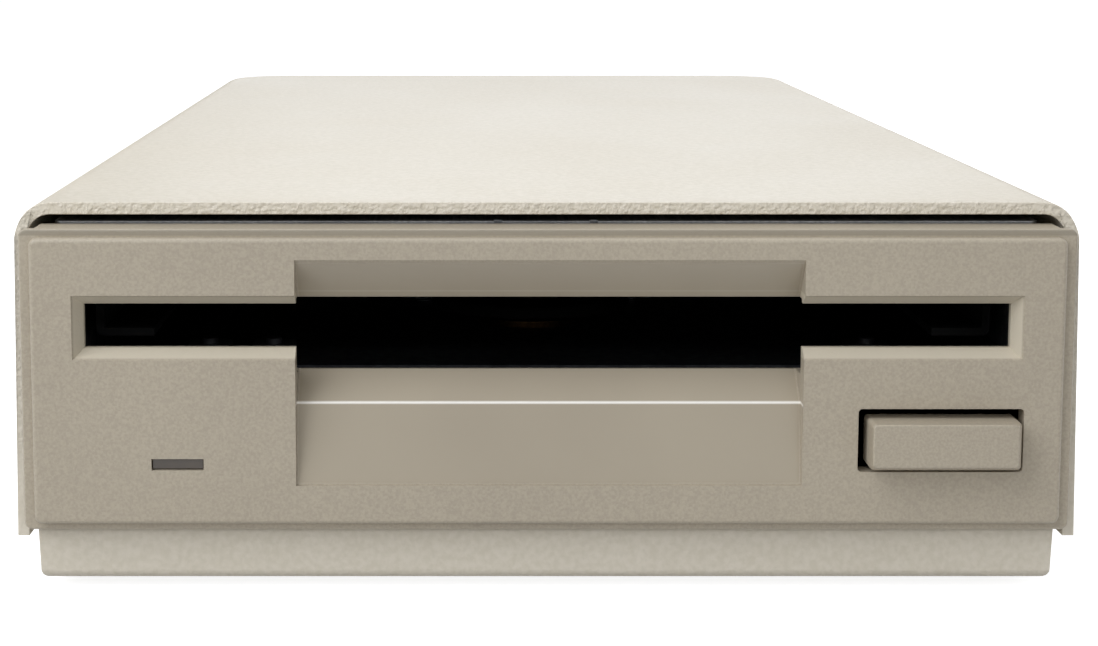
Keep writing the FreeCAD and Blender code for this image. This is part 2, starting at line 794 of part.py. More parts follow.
def make_bezel_skirt(skirt_low):
    """Thin wall that runs back round the whole bezel and meets the chassis."""
    skirt_half = tray_inner - SKIRT_SIDE_GAP
    skirt_high = face_top - SKIRT_LIP_GAP
    skirt = extrude_y(
        rectangle(-skirt_half, skirt_half, skirt_low, skirt_high, BEZEL_CORNER),
        face_y + FLANGE_STEP,
        chassis_front,
    )
    hollow = block(
        -skirt_half + SKIRT_WALL,
        skirt_half - SKIRT_WALL,
        face_y + BEZEL_WALL,
        chassis_front + OVERCUT,
        skirt_low + SKIRT_WALL,
        skirt_high - SKIRT_WALL,
    )
    return skirt.cut(hollow)


def make_bezel():
    """Moulded bezel: thin flange, raised face, bevelled slot, finger scoop and two snap arms."""
    face = extrude_y(
        rectangle(-face_half, face_half, chassis_bottom, face_top, BEZEL_CORNER),
        face_y,
        face_y + BEZEL_WALL,
    )
    face = face.makeFillet(BEZEL_EDGE_ROUND, edges_where(face, lambda e: e.BoundBox.YMax < face_y + FIT))
    flange_front = face_y + FLANGE_STEP
    flange_top = face_top + FLANGE_TOP_MARGIN
    flange = extrude_y(
        rectangle(-flange_half, flange_half, chassis_bottom - FLANGE_TOP_MARGIN, flange_top, BEZEL_CORNER),
        flange_front,
        flange_front + FLANGE_THICKNESS,
    )
    flange = flange.makeFillet(
        BEZEL_EDGE_ROUND / 2,
        edges_where(flange, lambda e: e.BoundBox.YMax < flange_front + FIT),
    )
    ledge = block(
        -flange_half + LEDGE_INSET,
        flange_half - LEDGE_INSET,
        flange_front + FLANGE_THICKNESS / 2,
        ledge_rear,
        flange_top - SKIRT_WALL,
        flange_top,
    )
    behind = face_y + BEZEL_WALL
    skirt_low = lip_top + SKIRT_LIP_GAP
    slot_half = holder_inner + SLOT_SIDE_MARGIN
    scoop_left, scoop_right = scoop_sides()
    scoop_low = chassis_bottom + SCOOP_BOTTOM_RISE
    scoop_high = chassis_bottom + SCOOP_TOP_RISE
    crease_z = chassis_bottom + SCOOP_CREASE_RISE
    mouth_low = slot_bottom - SCOOP_LOW_SPREAD
    mouth_high = slot_top + SCOOP_TOP_SPREAD
    backing = make_scoop_backing(scoop_low, scoop_high, crease_z, mouth_low, mouth_high)
    button_z = chassis_bottom + BUTTON_RISE
    opening_half = BUTTON_WIDTH / 2 + BUTTON_GAP
    opening_rise = BUTTON_HEIGHT / 2 + BUTTON_GAP
    rim = block(
        BUTTON_X - opening_half - MOULDED_RIB,
        BUTTON_X + opening_half + MOULDED_RIB,
        behind - MOULDED_RIB,
        behind + SKIRT_WALL,
        button_z - opening_rise - MOULDED_RIB,
        button_z + opening_rise + MOULDED_RIB,
    )
    pieces = [face, flange, ledge, make_bezel_skirt(skirt_low), rim]
    bezel = joined(pieces + backing + make_snap_arms(skirt_low))

    def slot_wire(y, growth):
        corners = rectangle(
            -slot_half - growth, slot_half + growth, slot_bottom - growth, slot_top + growth
        )
        return outline(corners, lambda p: FreeCAD.Vector(p.x, y, p.y))

    over = SLOT_BEVEL_DEPTH / 2
    slope = SLOT_BEVEL_WIDTH / SLOT_BEVEL_DEPTH
    bevel = Part.makeLoft(
        [
            slot_wire(face_y - over, SLOT_BEVEL_WIDTH + over * slope),
            slot_wire(face_y + SLOT_BEVEL_DEPTH, 0),
        ],
        True,
        True,
    )
    passage = block(-slot_half, slot_half, face_y, behind + OVERCUT, slot_bottom, slot_top)
    scoop = extrude_x(
        [
            (face_y - OVERCUT, scoop_low, 0),
            (face_y, scoop_low, 0),
            (face_y + SCOOP_CREASE_DEPTH, crease_z, SCOOP_CREASE_ROUND),
            (face_y + SCOOP_LOW_DEPTH, mouth_low, 0),
            (chassis_front, mouth_low, 0),
            (chassis_front, mouth_high, 0),
            (face_y + SCOOP_TOP_DEPTH, mouth_high, 0),
            (face_y, scoop_high, 0),
            (face_y - OVERCUT, scoop_high, 0),
        ],
        scoop_left,
        scoop_right,
    )
    opening = extrude_y(
        rectangle(
            BUTTON_X - opening_half,
            BUTTON_X + opening_half,
            button_z - opening_rise,
            button_z + opening_rise,
            BUTTON_CORNER,
        ),
        face_y - OVERCUT,
        chassis_front,
    )
    window_z = chassis_bottom + WINDOW_RISE
    window = block(
        WINDOW_X - WINDOW_WIDTH / 2,
        WINDOW_X + WINDOW_WIDTH / 2,
        face_y - OVERCUT,
        chassis_front,
        window_z - WINDOW_HEIGHT / 2,
        window_z + WINDOW_HEIGHT / 2,
    )
    return bezel.cut([bevel, passage, scoop, opening, window])


def beam_bottom():
    """Underside of the chassis's front beam, just over the bezel's snap arms."""
    return lip_top + SKIRT_LIP_GAP + SKIRT_WALL + CASE_GAP


def make_snap_arms(skirt_low):
    """Arms that run under the chassis's front beam and hook up behind it."""
    arms = []
    for x in (-SNAP_X, SNAP_X - SNAP_WIDTH):
        hook_front = chassis_front + BEAM_DEPTH + CASE_GAP
        arms.append(
            extrude_x(
                [
                    (chassis_front - SKIRT_WALL, skirt_low, 0),
                    (hook_front + SNAP_HOOK, skirt_low, 0),
                    (hook_front + SNAP_HOOK, beam_bottom(), 0),
                    (hook_front, beam_bottom() + SNAP_HOOK, 0),
                    (hook_front, beam_bottom() - CASE_GAP, 0),
                    (chassis_front - SKIRT_WALL, beam_bottom() - CASE_GAP, 0),
                ],
                x,
                x + SNAP_WIDTH,
            )
        )
    return arms


def make_button():
    """Hollow eject button with a tapered front edge; its open back sits on the slide's tab."""
    front = face_y - BUTTON_PROUD
    z = chassis_bottom + BUTTON_RISE

    def wire(y, inset):
        corners = rectangle(
            BUTTON_X - BUTTON_WIDTH / 2 + inset,
            BUTTON_X + BUTTON_WIDTH / 2 - inset,
            z - BUTTON_HEIGHT / 2 + inset,
            z + BUTTON_HEIGHT / 2 - inset,
            BUTTON_CORNER,
        )
        return outline(corners, lambda p: FreeCAD.Vector(p.x, y, p.y))

    nose = Part.makeLoft([wire(front, BUTTON_CHAMFER), wire(front + BUTTON_CHAMFER_DEPTH, 0)], True, True)
    nose = nose.makeFillet(BUTTON_CORNER / 2, edges_where(nose, lambda e: e.BoundBox.YMax < front + FIT))
    shank = Part.Face(wire(front + BUTTON_CHAMFER_DEPTH, 0)).extrude(
        FreeCAD.Vector(0, BUTTON_DEPTH - BUTTON_CHAMFER_DEPTH, 0)
    )
    hollow = Part.Face(wire(front + BUTTON_CHAMFER_DEPTH + BUTTON_WALL, BUTTON_WALL)).extrude(
        FreeCAD.Vector(0, BUTTON_DEPTH, 0)
    )
    return joined([nose, shank]).cut(hollow)


def make_lens():
    """Light-guide lens: a narrow bar in the window with a flange behind the bezel wall."""
    z = chassis_bottom + WINDOW_RISE
    half = WINDOW_WIDTH / 2 - LENS_CLEARANCE
    rise = WINDOW_HEIGHT / 2 - LENS_CLEARANCE
    front = face_y + LENS_RECESS
    bar = block(WINDOW_X - half, WINDOW_X + half, front, face_y + BEZEL_WALL, z - rise, z + rise)
    flange = block(
        WINDOW_X - half - LENS_FLANGE,
        WINDOW_X + half + LENS_FLANGE,
        face_y + BEZEL_WALL,
        face_y + BEZEL_WALL + LENS_FLANGE,
        z - rise - LENS_FLANGE,
        z + rise + LENS_FLANGE,
    )
    return joined([bar, flange])


def make_lamp():
    """Round-nosed lamp between the lens and the chassis's front beam."""
    z = chassis_bottom + WINDOW_RISE
    start = face_y + BEZEL_WALL + LENS_FLANGE + CASE_GAP
    lamp = long_rod(LAMP_RADIUS, WINDOW_X, z, start, chassis_front)
    lamp = lamp.makeFillet(
        LAMP_RADIUS * LAMP_NOSE,
        edges_where(lamp, lambda e: e.BoundBox.YMax < start + FIT and len(e.Vertexes) == 1),
    )
    rim = long_rod(LAMP_RADIUS + CASE_GAP, WINDOW_X, z, chassis_front - LAMP_RADIUS, chassis_front)
    return lamp.fuse(rim)


def pin_places():
    """Y of the holder's guide pins and their height with the holder up."""
    first = holder_front + PIN_SETBACK
    return [(first, holder_bottom + PIN_RISE), (first + PIN_PITCH, holder_bottom + PIN_RISE)]


def post_places():
    x = chassis_inner - POST_INSET
    front = face_y + LOGIC_BOARD_FRONT + 2 * POST_INSET
    return [(side * x, y) for side in (-1, 1) for y in (front, chassis_rear - 2 * POST_INSET)]


def motor_post_places():
    radius = ROTOR_RADIUS + MOTOR_BOARD_MARGIN
    places = []
    for angle in MOTOR_POST_ANGLES:
        turn = math.radians(angle)
        places.append((radius * math.cos(turn), spindle_y + radius * math.sin(turn)))
    return places


def rotor_top():
    return deck_bottom - BEARING_BOSS_DROP - ROTOR_GAP


def motor_board_top():
    return rotor_top() - ROTOR_HEIGHT - MOTOR_BOARD_GAP


def opening_right():
    return SCREW_X + STEPPER_RADIUS + OPENING_SIDE_GAP


def end_bearing_front():
    """The lead screw's front bearing stands clear of the carriage at its innermost track."""
    reach = TRACK_PITCH * (TRACK_COUNT - 1)
    return needle_y() - reach - SCREW_TRAVEL_MARGIN - END_BEARING_LENGTH - END_BEARING_GAP


def needle_y():
    return head_y + NEEDLE_BEHIND


def make_rod_bosses():
    """Bosses at both ends of the guide rods, and the one for the lead screw's end bearing."""
    boss = ROD_RADIUS + ROD_OVERHANG / 2
    ends = ((opening_front - ROD_OVERHANG, opening_front), (opening_rear, opening_rear + ROD_OVERHANG))
    bosses = []
    for side in (-1, 1):
        for start, end in ends:
            corners = rectangle(
                side * ROD_X - boss, side * ROD_X + boss, rod_z - boss, rod_z + ROD_BOSS_RISE, BOSS_CORNER
            )
            bosses.append(extrude_y(corners, start, end))
    rib = END_BEARING_RADIUS + CHASSIS_WALL
    corners = rectangle(
        SCREW_X - rib, opening_right() + rib, rod_z - rib, rod_z + ROD_BOSS_RISE, BOSS_CORNER
    )
    bosses.append(extrude_y(corners, end_bearing_front(), end_bearing_front() + END_BEARING_LENGTH))
    return bosses


def make_deck_ribs():
    """Short stiffening ribs under the deck, where it meets the side frames."""
    return [
        block(
            side * chassis_inner,
            side * (chassis_inner - DECK_RIB_LENGTH),
            face_y + depth,
            face_y + depth + CHASSIS_WALL,
            deck_bottom - DECK_RIB_DROP,
            deck_bottom,
        )
        for side in (-1, 1)
        for depth in DECK_RIB_DEPTHS
    ]


def make_chassis():
    """Die-cast deck with the carriage opening, cross beams, bearing boss and screw posts."""
    deck_half = chassis_inner + DECK_TAB
    deck = extrude_z(
        rectangle(-deck_half, deck_half, slide_front + DECK_SETBACK, chassis_rear),
        deck_bottom,
        deck_top,
    )
    opening = extrude_z(
        rectangle(-CARRIAGE_OPENING_HALF, opening_right(), opening_front, opening_rear, PLATE_CORNER),
        deck_bottom - OVERCUT,
        deck_top + OVERCUT,
    )
    beam = block(
        -chassis_inner, BEAM_RIGHT, chassis_front, chassis_front + BEAM_DEPTH, beam_bottom(), deck_top
    )
    beam_foot = block(
        -chassis_inner,
        BEAM_RIGHT,
        chassis_front,
        slide_front + DECK_SETBACK,
        deck_bottom,
        deck_bottom + CHASSIS_WALL,
    )
    rear_wall = block(
        -chassis_inner,
        chassis_inner,
        chassis_rear - CHASSIS_WALL,
        chassis_rear,
        deck_bottom,
        chassis_top - REAR_WALL_DROP,
    )
    boss = upright_rod(
        BEARING_RADIUS + BEARING_BOSS_WALL, 0, spindle_y, deck_bottom - BEARING_BOSS_DROP, deck_top
    )
    pieces = [deck.cut(opening), beam, beam_foot, rear_wall, boss]
    for x, y in post_places():
        pieces.append(upright_rod(POST_RADIUS, x, y, board_top, deck_bottom))
    for x, y in motor_post_places():
        pieces.append(upright_rod(MOTOR_POST_RADIUS, x, y, motor_board_top(), deck_bottom))
    chassis = joined(pieces + make_rod_bosses() + make_deck_ribs())
    bores = [
        upright_rod(
            BEARING_RADIUS, 0, spindle_y, deck_bottom - BEARING_BOSS_DROP - OVERCUT, deck_top + OVERCUT
        )
    ]
    for side in (-1, 1):
        for start, end in (
            (opening_front - ROD_OVERHANG - OVERCUT, opening_front),
            (opening_rear, opening_rear + ROD_OVERHANG + OVERCUT),
        ):
            bores.append(long_rod(ROD_RADIUS + RUNNING_CLEARANCE, side * ROD_X, rod_z, start, end))
    bores.append(
        long_rod(
            END_BEARING_RADIUS,
            SCREW_X,
            rod_z,
            end_bearing_front() - OVERCUT,
            end_bearing_front() + END_BEARING_LENGTH + OVERCUT,
        )
    )
    for x, y in post_places():
        bores.append(
            upright_rod(
                BOARD_SCREW_RADIUS + RUNNING_CLEARANCE, x, y, board_top, board_top + BOARD_SCREW_LENGTH
            )
        )
    return chassis.cut(bores)


def make_side_frame(side):
    """Cast side frame: a groove for the deck, guide slots for the pins, windows and a spring peg."""
    frame = block(
        side * chassis_inner, side * chassis_outer, chassis_front, chassis_rear, chassis_bottom, chassis_top
    )
    cuts = []
    for y, z in pin_places():
        half = PIN_RADIUS + PIN_SLOT_CLEARANCE
        slot = rectangle(y - half, y + half, z - HOLDER_DROP - half, z + half, half)
        cuts.append(extrude_x(slot, -chassis_outer - OVERCUT, chassis_outer + OVERCUT))
    for start, end in WALL_WINDOWS:
        window = rectangle(
            face_y + start,
            face_y + end,
            deck_top + WALL_WINDOW_INSET,
            chassis_top - WALL_WINDOW_INSET,
            PLATE_CORNER,
        )
        cuts.append(extrude_x(window, -chassis_outer - OVERCUT, chassis_outer + OVERCUT))
    for y, z in chassis_screw_places():
        cuts.append(cross_rod(SCREW_RADIUS + RUNNING_CLEARANCE, y, z, -cover_outer, cover_outer))
    cuts.append(
        block(
            -chassis_inner - DECK_TAB - RUNNING_CLEARANCE,
            chassis_inner + DECK_TAB + RUNNING_CLEARANCE,
            slide_front + DECK_SETBACK - RUNNING_CLEARANCE,
            chassis_rear + OVERCUT,
            deck_bottom - RUNNING_CLEARANCE,
            deck_top + RUNNING_CLEARANCE,
        )
    )
    peg = cross_rod(
        SPRING_PEG_RADIUS,
        chassis_front + SPRING_PEG_INSET,
        spring_z(),
        side * (chassis_inner + CHASSIS_WALL / 2),
        side * (SPRING_X - SPRING_RADIUS),
    )
    return joined([frame.cut(cuts), peg])


def make_top_tie():
    """Flat bar across the rear ends of the side frames, under the shield lid."""
    return block(
        -chassis_inner,
        chassis_inner,
        chassis_rear - TOP_TIE,
        chassis_rear,
        chassis_top - CHASSIS_WALL,
        chassis_top,
    )


def spring_z():
    return slide_plate_top + SPRING_RADIUS + CASE_GAP


def lever_slot():
    """Arc-shaped slot that the shutter lever's finger sweeps through."""
    half = LEVER_FINGER_RADIUS + LEVER_SLOT_CLEARANCE
    margin = math.degrees(2 * half / lever_reach)
    pivot = FreeCAD.Vector(lever_x, lever_y, slot_top - OVERCUT)
    up = FreeCAD.Vector(0, 0, 1)
    sweep = LEVER_SWING + 2 * margin
    height = HOLDER_SHEET + 2 * OVERCUT
    outer = Part.makeCylinder(lever_reach + half, height, pivot, up, sweep)
    inner = Part.makeCylinder(lever_reach - half, height, pivot, up, sweep)
    slot = outer.cut(inner)
    slot.rotate(pivot, up, 180 - LEVER_SWING - margin)
    return slot


def make_holder():
    """Folded sheet tray for the disk: flat top, two C-shaped sides and a flared mouth."""
    section = [
        (-holder_outer, holder_bottom, HOLDER_SHEET),
        (-holder_outer + HOLDER_LEDGE, holder_bottom, 0),
        (-holder_outer + HOLDER_LEDGE, slot_bottom, 0),
        (-holder_inner, slot_bottom, 0),
        (-holder_inner, slot_top, 0),
        (holder_inner, slot_top, 0),
        (holder_inner, slot_bottom, 0),
        (holder_outer - HOLDER_LEDGE, slot_bottom, 0),
        (holder_outer - HOLDER_LEDGE, holder_bottom, 0),
        (holder_outer, holder_bottom, HOLDER_SHEET),
        (holder_outer, holder_top, HOLDER_SHEET),
        (-holder_outer, holder_top, HOLDER_SHEET),
    ]
    body = extrude_y(section, holder_front, holder_rear)
    flare = extrude_x(
        [
            (holder_front, slot_top, 0),
            (holder_front, holder_top, 0),
            (holder_front - HOLDER_FLARE, holder_top + HOLDER_FLARE / 2, 0),
            (holder_front - HOLDER_FLARE, slot_top + HOLDER_FLARE / 2, 0),
        ],
        -holder_inner,
        holder_inner,
    )
    stop_x = holder_inner - 2 * HOLDER_LEDGE
    stops = [
        block(
            side * stop_x,
            side * (stop_x + HOLDER_LEDGE),
            holder_rear - HOLDER_LEDGE,
            holder_rear - HOLDER_LEDGE + HOLDER_SHEET,
            slot_bottom,
            slot_top,
        )
        for side in (-1, 1)
    ]
    head_gap = extrude_z(
        rectangle(
            -HOLDER_HEAD_GAP / 2,
            HOLDER_HEAD_GAP / 2,
            holder_rear - HOLDER_HEAD_SLOT,
            holder_rear + HOLDER_HEAD_SLOT,
            PLATE_CORNER,
        ),
        slot_top - OVERCUT,
        holder_top + OVERCUT,
    )
    return joined([body, flare] + stops).cut([head_gap, lever_slot()])


def make_holder_pins():
    """Four guide pins that pass through the slide's cams into the chassis's upright slots."""
    return [
        cross_rod(PIN_RADIUS, y, z, side * holder_outer, side * (holder_outer + PIN_REACH))
        for side in (-1, 1)
        for y, z in pin_places()
    ]


def make_slide():
    """Slide plate: U-shaped top, flanges with slanted cam slots, and the arm behind the button."""
    arm_inner = slide_outer - SLIDE_ARM_WIDTH
    cross_rear = slide_front + SLIDE_CROSS_LENGTH
    top = extrude_z(
        [
            (-slide_outer, slide_front, 0),
            (slide_outer, slide_front, 0),
            (slide_outer, slide_rear, 0),
            (arm_inner, slide_rear, PLATE_CORNER),
            (arm_inner, cross_rear, 2 * PLATE_CORNER),
            (-arm_inner, cross_rear, 2 * PLATE_CORNER),
            (-arm_inner, slide_rear, PLATE_CORNER),
            (-slide_outer, slide_rear, 0),
        ],
        slide_plate_bottom,
        slide_plate_top,
    )
    flange_bottom = deck_top + SLIDE_RUN_GAP
    pieces = [top]
    for side in (-1, 1):
        flange = block(
            side * slide_inner,
            side * slide_outer,
            slide_front,
            slide_rear,
            flange_bottom,
            slide_plate_top,
        )
        pieces.append(flange)
        hook_y = chassis_front + SPRING_PEG_INSET + SPRING_LENGTH
        pieces.append(
            block(
                side * (SPRING_X - SPRING_RADIUS),
                side * (SPRING_X + SPRING_RADIUS),
                hook_y,
                hook_y + SLIDE_SHEET,
                slide_plate_bottom,
                spring_z() + SPRING_RADIUS / 2,
            )
        )
    tab_y = face_y - BUTTON_PROUD + BUTTON_DEPTH
    button_z = chassis_bottom + BUTTON_RISE
    tab_low = button_z - BUTTON_HEIGHT / 2 + CASE_GAP
    tab_high = button_z + BUTTON_HEIGHT / 2 - CASE_GAP
    finger_top = flange_bottom + SLIDE_FINGER_HEIGHT
    arm = extrude_x(
        [
            (tab_y, tab_low, SLIDE_TAB_CORNER / 2),
            (tab_y + SLIDE_FINGER_WIDTH, tab_low, SLIDE_TAB_CORNER),
            (tab_y + SLIDE_FINGER_WIDTH, flange_bottom, SLIDE_TAB_CORNER),
            (slide_front + OVERCUT, flange_bottom, 0),
            (slide_front + OVERCUT, finger_top, 0),
            (tab_y, finger_top, SLIDE_TAB_CORNER),
        ],
        slide_inner,
        slide_outer,
    )
    tab = extrude_y(
        rectangle(slide_outer - SLIDE_TAB_WIDTH, slide_outer, tab_low, tab_high),
        tab_y,
        tab_y + SLIDE_SHEET,
    )
    slide = joined(pieces + [arm, tab])
    half = PIN_RADIUS + PIN_SLOT_CLEARANCE
    run = FreeCAD.Vector(EJECT_TRAVEL, -HOLDER_DROP, 0)
    along = FreeCAD.Vector(run).normalize() * half
    aside = FreeCAD.Vector(-along.y, along.x, 0)
    cams = []
    for y, z in pin_places():
        start = FreeCAD.Vector(y, z, 0)
        ends = (
            start - along - aside,
            start + run + along - aside,
            start + run + along + aside,
            start - along + aside,
        )
        corners = [(end.x, end.y, half) for end in ends]
        cams.append(extrude_x(corners, -slide_outer - OVERCUT, slide_outer + OVERCUT))
    return slide.cut(cams)


def make_slide_spring(side):
    """Close-wound extension spring from the chassis peg to the slide's hook."""
    start = chassis_front + SPRING_PEG_INSET + SPRING_PEG_RADIUS + CASE_GAP
    end = chassis_front + SPRING_PEG_INSET + SPRING_LENGTH - CASE_GAP
    pitch = (end - start) / SPRING_RIB_COUNT
    points = []
    for i in range(SPRING_RIB_COUNT):
        base = start + i * pitch
        points.append((SPRING_RADIUS - SPRING_WIRE / 2, base))
        points.append((SPRING_RADIUS, base + pitch / 2))
    points.append((SPRING_RADIUS - SPRING_WIRE / 2, end))
    inner = SPRING_RADIUS - SPRING_WIRE
    corners = [(inner, start, 0)] + [(r, y, 0) for r, y in points] + [(inner, end, 0)]
    wire = outline(corners, lambda p: FreeCAD.Vector(side * SPRING_X + p.x, p.y, spring_z()))
    axis_point = FreeCAD.Vector(side * SPRING_X, 0, spring_z())
    return Part.Face(wire).revolve(axis_point, FreeCAD.Vector(0, 1, 0), 360)


def make_lever():
    """Shutter lever: flat arm with a turned-down finger that the disk's front edge pushes."""
    z0 = holder_top + LEVER_GAP
    z1 = z0 + LEVER_SHEET
    tip_x = lever_x - lever_reach
    half = LEVER_ARM_WIDTH / 2
    root_half = LEVER_HUB_RADIUS - LEVER_ROOT_INSET
    arm = extrude_z(
        [
            (lever_x, lever_y - root_half, 0),
            (lever_x, lever_y + root_half, 0),
            (tip_x - half, lever_y + half, LEVER_TIP_CORNER),
            (tip_x - half, lever_y - half, LEVER_TIP_CORNER),
        ],
        z0,
        z1,
    )
    hub = upright_rod(LEVER_HUB_RADIUS, lever_x, lever_y, z0, z1)
    finger = upright_rod(
        LEVER_FINGER_RADIUS, tip_x, lever_y, slot_bottom + LEVER_SHEET, z0 + LEVER_SHEET / 2
    )
    hole = upright_rod(
        STUD_RADIUS + RUNNING_CLEARANCE, lever_x, lever_y, z0 - OVERCUT, z1 + OVERCUT
    )
    return joined([arm, hub, finger]).cut(hole)


def make_lever_stud():
    """Shouldered stud on the holder that the lever turns on."""
    shoulder = holder_top + LEVER_GAP + LEVER_SHEET + RUNNING_CLEARANCE
    head_top = slide_plate_bottom - 2 * LEVER_GAP
    stem = upright_rod(STUD_RADIUS, lever_x, lever_y, holder_top, shoulder + LEVER_GAP)
    head = upright_rod(LEVER_HUB_RADIUS - LEVER_SHEET, lever_x, lever_y, shoulder, head_top)
    return joined([stem, head])


def make_rotor():
    """Rotor cup, open downwards, pressed from steel."""
    top = rotor_top()
    low = top - ROTOR_HEIGHT
    return revolve(
        [
            (SHAFT_RADIUS + RUNNING_CLEARANCE, top - ROTOR_SHEET, 0),
            (ROTOR_RADIUS - ROTOR_SHEET, top - ROTOR_SHEET, 0),
            (ROTOR_RADIUS - ROTOR_SHEET, low, 0),
            (ROTOR_RADIUS, low, 0),
            (ROTOR_RADIUS, top, ROTOR_SHEET),
            (SHAFT_RADIUS + RUNNING_CLEARANCE, top, 0),
        ],
        0,
        spindle_y,
    )


def make_magnet():
    outer = ROTOR_RADIUS - ROTOR_SHEET - RUNNING_CLEARANCE
    top = rotor_top() - ROTOR_SHEET - RUNNING_CLEARANCE
    return revolve(
        rectangle(outer - MAGNET_WALL, outer, top - MAGNET_HEIGHT, top), 0, spindle_y
    )


def hub_top():
    return deck_top + HUB_TOP_RISE


def make_hub():
    """Hub disc with a raised seat ring for the disk's metal centre and a hole for the drive pin."""
    top = hub_top()
    floor = top - HUB_THICKNESS / 4
    hub = revolve(
        [
            (SHAFT_RADIUS + RUNNING_CLEARANCE, top - HUB_THICKNESS, 0),
            (HUB_RADIUS, top - HUB_THICKNESS, SOFT_EDGE),
            (HUB_RADIUS, top, HUB_CROWN),
            (HUB_RADIUS - HUB_RING, top, 0),
            (HUB_RADIUS - HUB_RING - HUB_RING_SLOPE, floor, 0),
            (SHAFT_RADIUS * 2, floor, 0),
            (SHAFT_RADIUS * 2, top, 0),
            (SHAFT_RADIUS + RUNNING_CLEARANCE, top, 0),
        ],
        0,
        spindle_y,
    )
    pin_hole = upright_rod(
        DRIVE_PIN_RADIUS + RUNNING_CLEARANCE,
        DRIVE_PIN_OFFSET,
        spindle_y,
        top - HUB_THICKNESS - OVERCUT,
        top + OVERCUT,
    )
    return hub.cut(pin_hole)


def make_drive_pin():
    low = hub_top() - HUB_THICKNESS
    high = hub_top() + HUB_NOSE_HEIGHT
    pin = upright_rod(DRIVE_PIN_RADIUS, DRIVE_PIN_OFFSET, spindle_y, low, high)
    tip = edges_where(pin, lambda e: e.BoundBox.ZMin > high - FIT)
    return pin.makeFillet(DRIVE_PIN_RADIUS / 3, tip)


def make_shaft():
    """Spindle shaft with a coned tip that centres the disk."""
    top = hub_top() + HUB_NOSE_HEIGHT
    low = motor_board_top() + CASE_GAP
    return revolve(
        [
            (0, low, 0),
            (SHAFT_RADIUS, low, SOFT_EDGE),
            (SHAFT_RADIUS, top - SHAFT_CONE, 0),
            (SHAFT_RADIUS - SHAFT_CONE, top, 0),
            (0, top, 0),
        ],
        0,
        spindle_y,
    )


def make_bearing():
    """Sleeve bearing with a flange that rests on the deck."""
    outer = BEARING_RADIUS - RUNNING_CLEARANCE / 2
    inner = SHAFT_RADIUS + RUNNING_CLEARANCE
    return revolve(
        [
            (inner, deck_bottom - BEARING_BOSS_DROP, 0),
            (outer, deck_bottom - BEARING_BOSS_DROP, 0),
            (outer, deck_top, 0),
            (outer + BEARING_BOSS_WALL, deck_top, 0),
            (outer + BEARING_BOSS_WALL, deck_top + BEARING_BOSS_WALL / 2, SOFT_EDGE),
            (inner, deck_top + BEARING_BOSS_WALL / 2, 0),
        ],
        0,
        spindle_y,
    )


def make_motor_board():
    top = motor_board_top()
    half = ROTOR_RADIUS + MOTOR_BOARD_MARGIN * 2
    deep = ROTOR_RADIUS + MOTOR_BOARD_MARGIN / 2
    corners = rectangle(-half, half, spindle_y - deep, spindle_y + deep, MOTOR_BOARD_MARGIN)
    return extrude_z(corners, top - MOTOR_BOARD_SHEET, top)


def make_stator_core():
    """Laminated stator: a ring on the motor board with one tooth for each coil."""
    bottom = motor_board_top()
    top = rotor_top() - ROTOR_SHEET - COIL_GAP
    tooth_low = (bottom + top - TOOTH_HEIGHT) / 2
    tooth_high = tooth_low + TOOTH_HEIGHT
    ring = revolve(
        rectangle(SHAFT_RADIUS + 2 * COIL_GAP, CORE_RADIUS, bottom, tooth_high), 0, spindle_y
    )
    tooth_start = CORE_RADIUS - TOOTH_HEIGHT
    tooth_end = ROTOR_RADIUS - ROTOR_SHEET - MAGNET_WALL - COIL_GAP
    half = TOOTH_WIDTH / 2
    pieces = [ring]
    for i in range(COIL_COUNT):
        tooth = block(tooth_start, tooth_end, -half, half, tooth_low, tooth_high)
        shoe = block(
            tooth_end - TOOTH_HEIGHT, tooth_end, -TOOTH_WIDTH, TOOTH_WIDTH, tooth_low, tooth_high
        )
        for piece in (tooth, shoe):
            piece.rotate(FreeCAD.Vector(0, 0, 0), FreeCAD.Vector(0, 0, 1), 360 * i / COIL_COUNT)
            piece.translate(FreeCAD.Vector(0, spindle_y, 0))
            pieces.append(piece)
    return joined(pieces)


def make_coils():
    """Windings round the stator's teeth, one solid each."""
    bottom = motor_board_top() + CASE_GAP
    top = rotor_top() - ROTOR_SHEET - COIL_GAP
    middle = (motor_board_top() + top) / 2
    tooth_end = ROTOR_RADIUS - ROTOR_SHEET - MAGNET_WALL - COIL_GAP
    half = TOOTH_WIDTH / 2 + RUNNING_CLEARANCE
    rise = TOOTH_HEIGHT / 2 + RUNNING_CLEARANCE
    coils = []
    for i in range(COIL_COUNT):
        winding = extrude_x(
            rectangle(-TOOTH_WIDTH, TOOTH_WIDTH, bottom, top, TOOTH_WIDTH / 3),
            CORE_RADIUS + COIL_GAP,
            tooth_end - TOOTH_HEIGHT - COIL_GAP / 2,
        )
        room = extrude_x(rectangle(-half, half, middle - rise, middle + rise), 0, ROTOR_RADIUS)
        coil = winding.cut(room)
        coil.rotate(FreeCAD.Vector(0, 0, 0), FreeCAD.Vector(0, 0, 1), 360 * i / COIL_COUNT)
        coil.translate(FreeCAD.Vector(0, spindle_y, 0))
        coils.append(coil)
    return coils


def media_z():
    """Height of the disk's film when the holder is down."""
    return deck_top + MEDIA_RISE


def carriage_front():
    return head_y - CARRIAGE_FORWARD


def carriage_rear():
    return head_y + CARRIAGE_BEHIND


def arm_pin_place():
    return head_y + ARM_REACH, rod_z + ARM_PIN_RISE


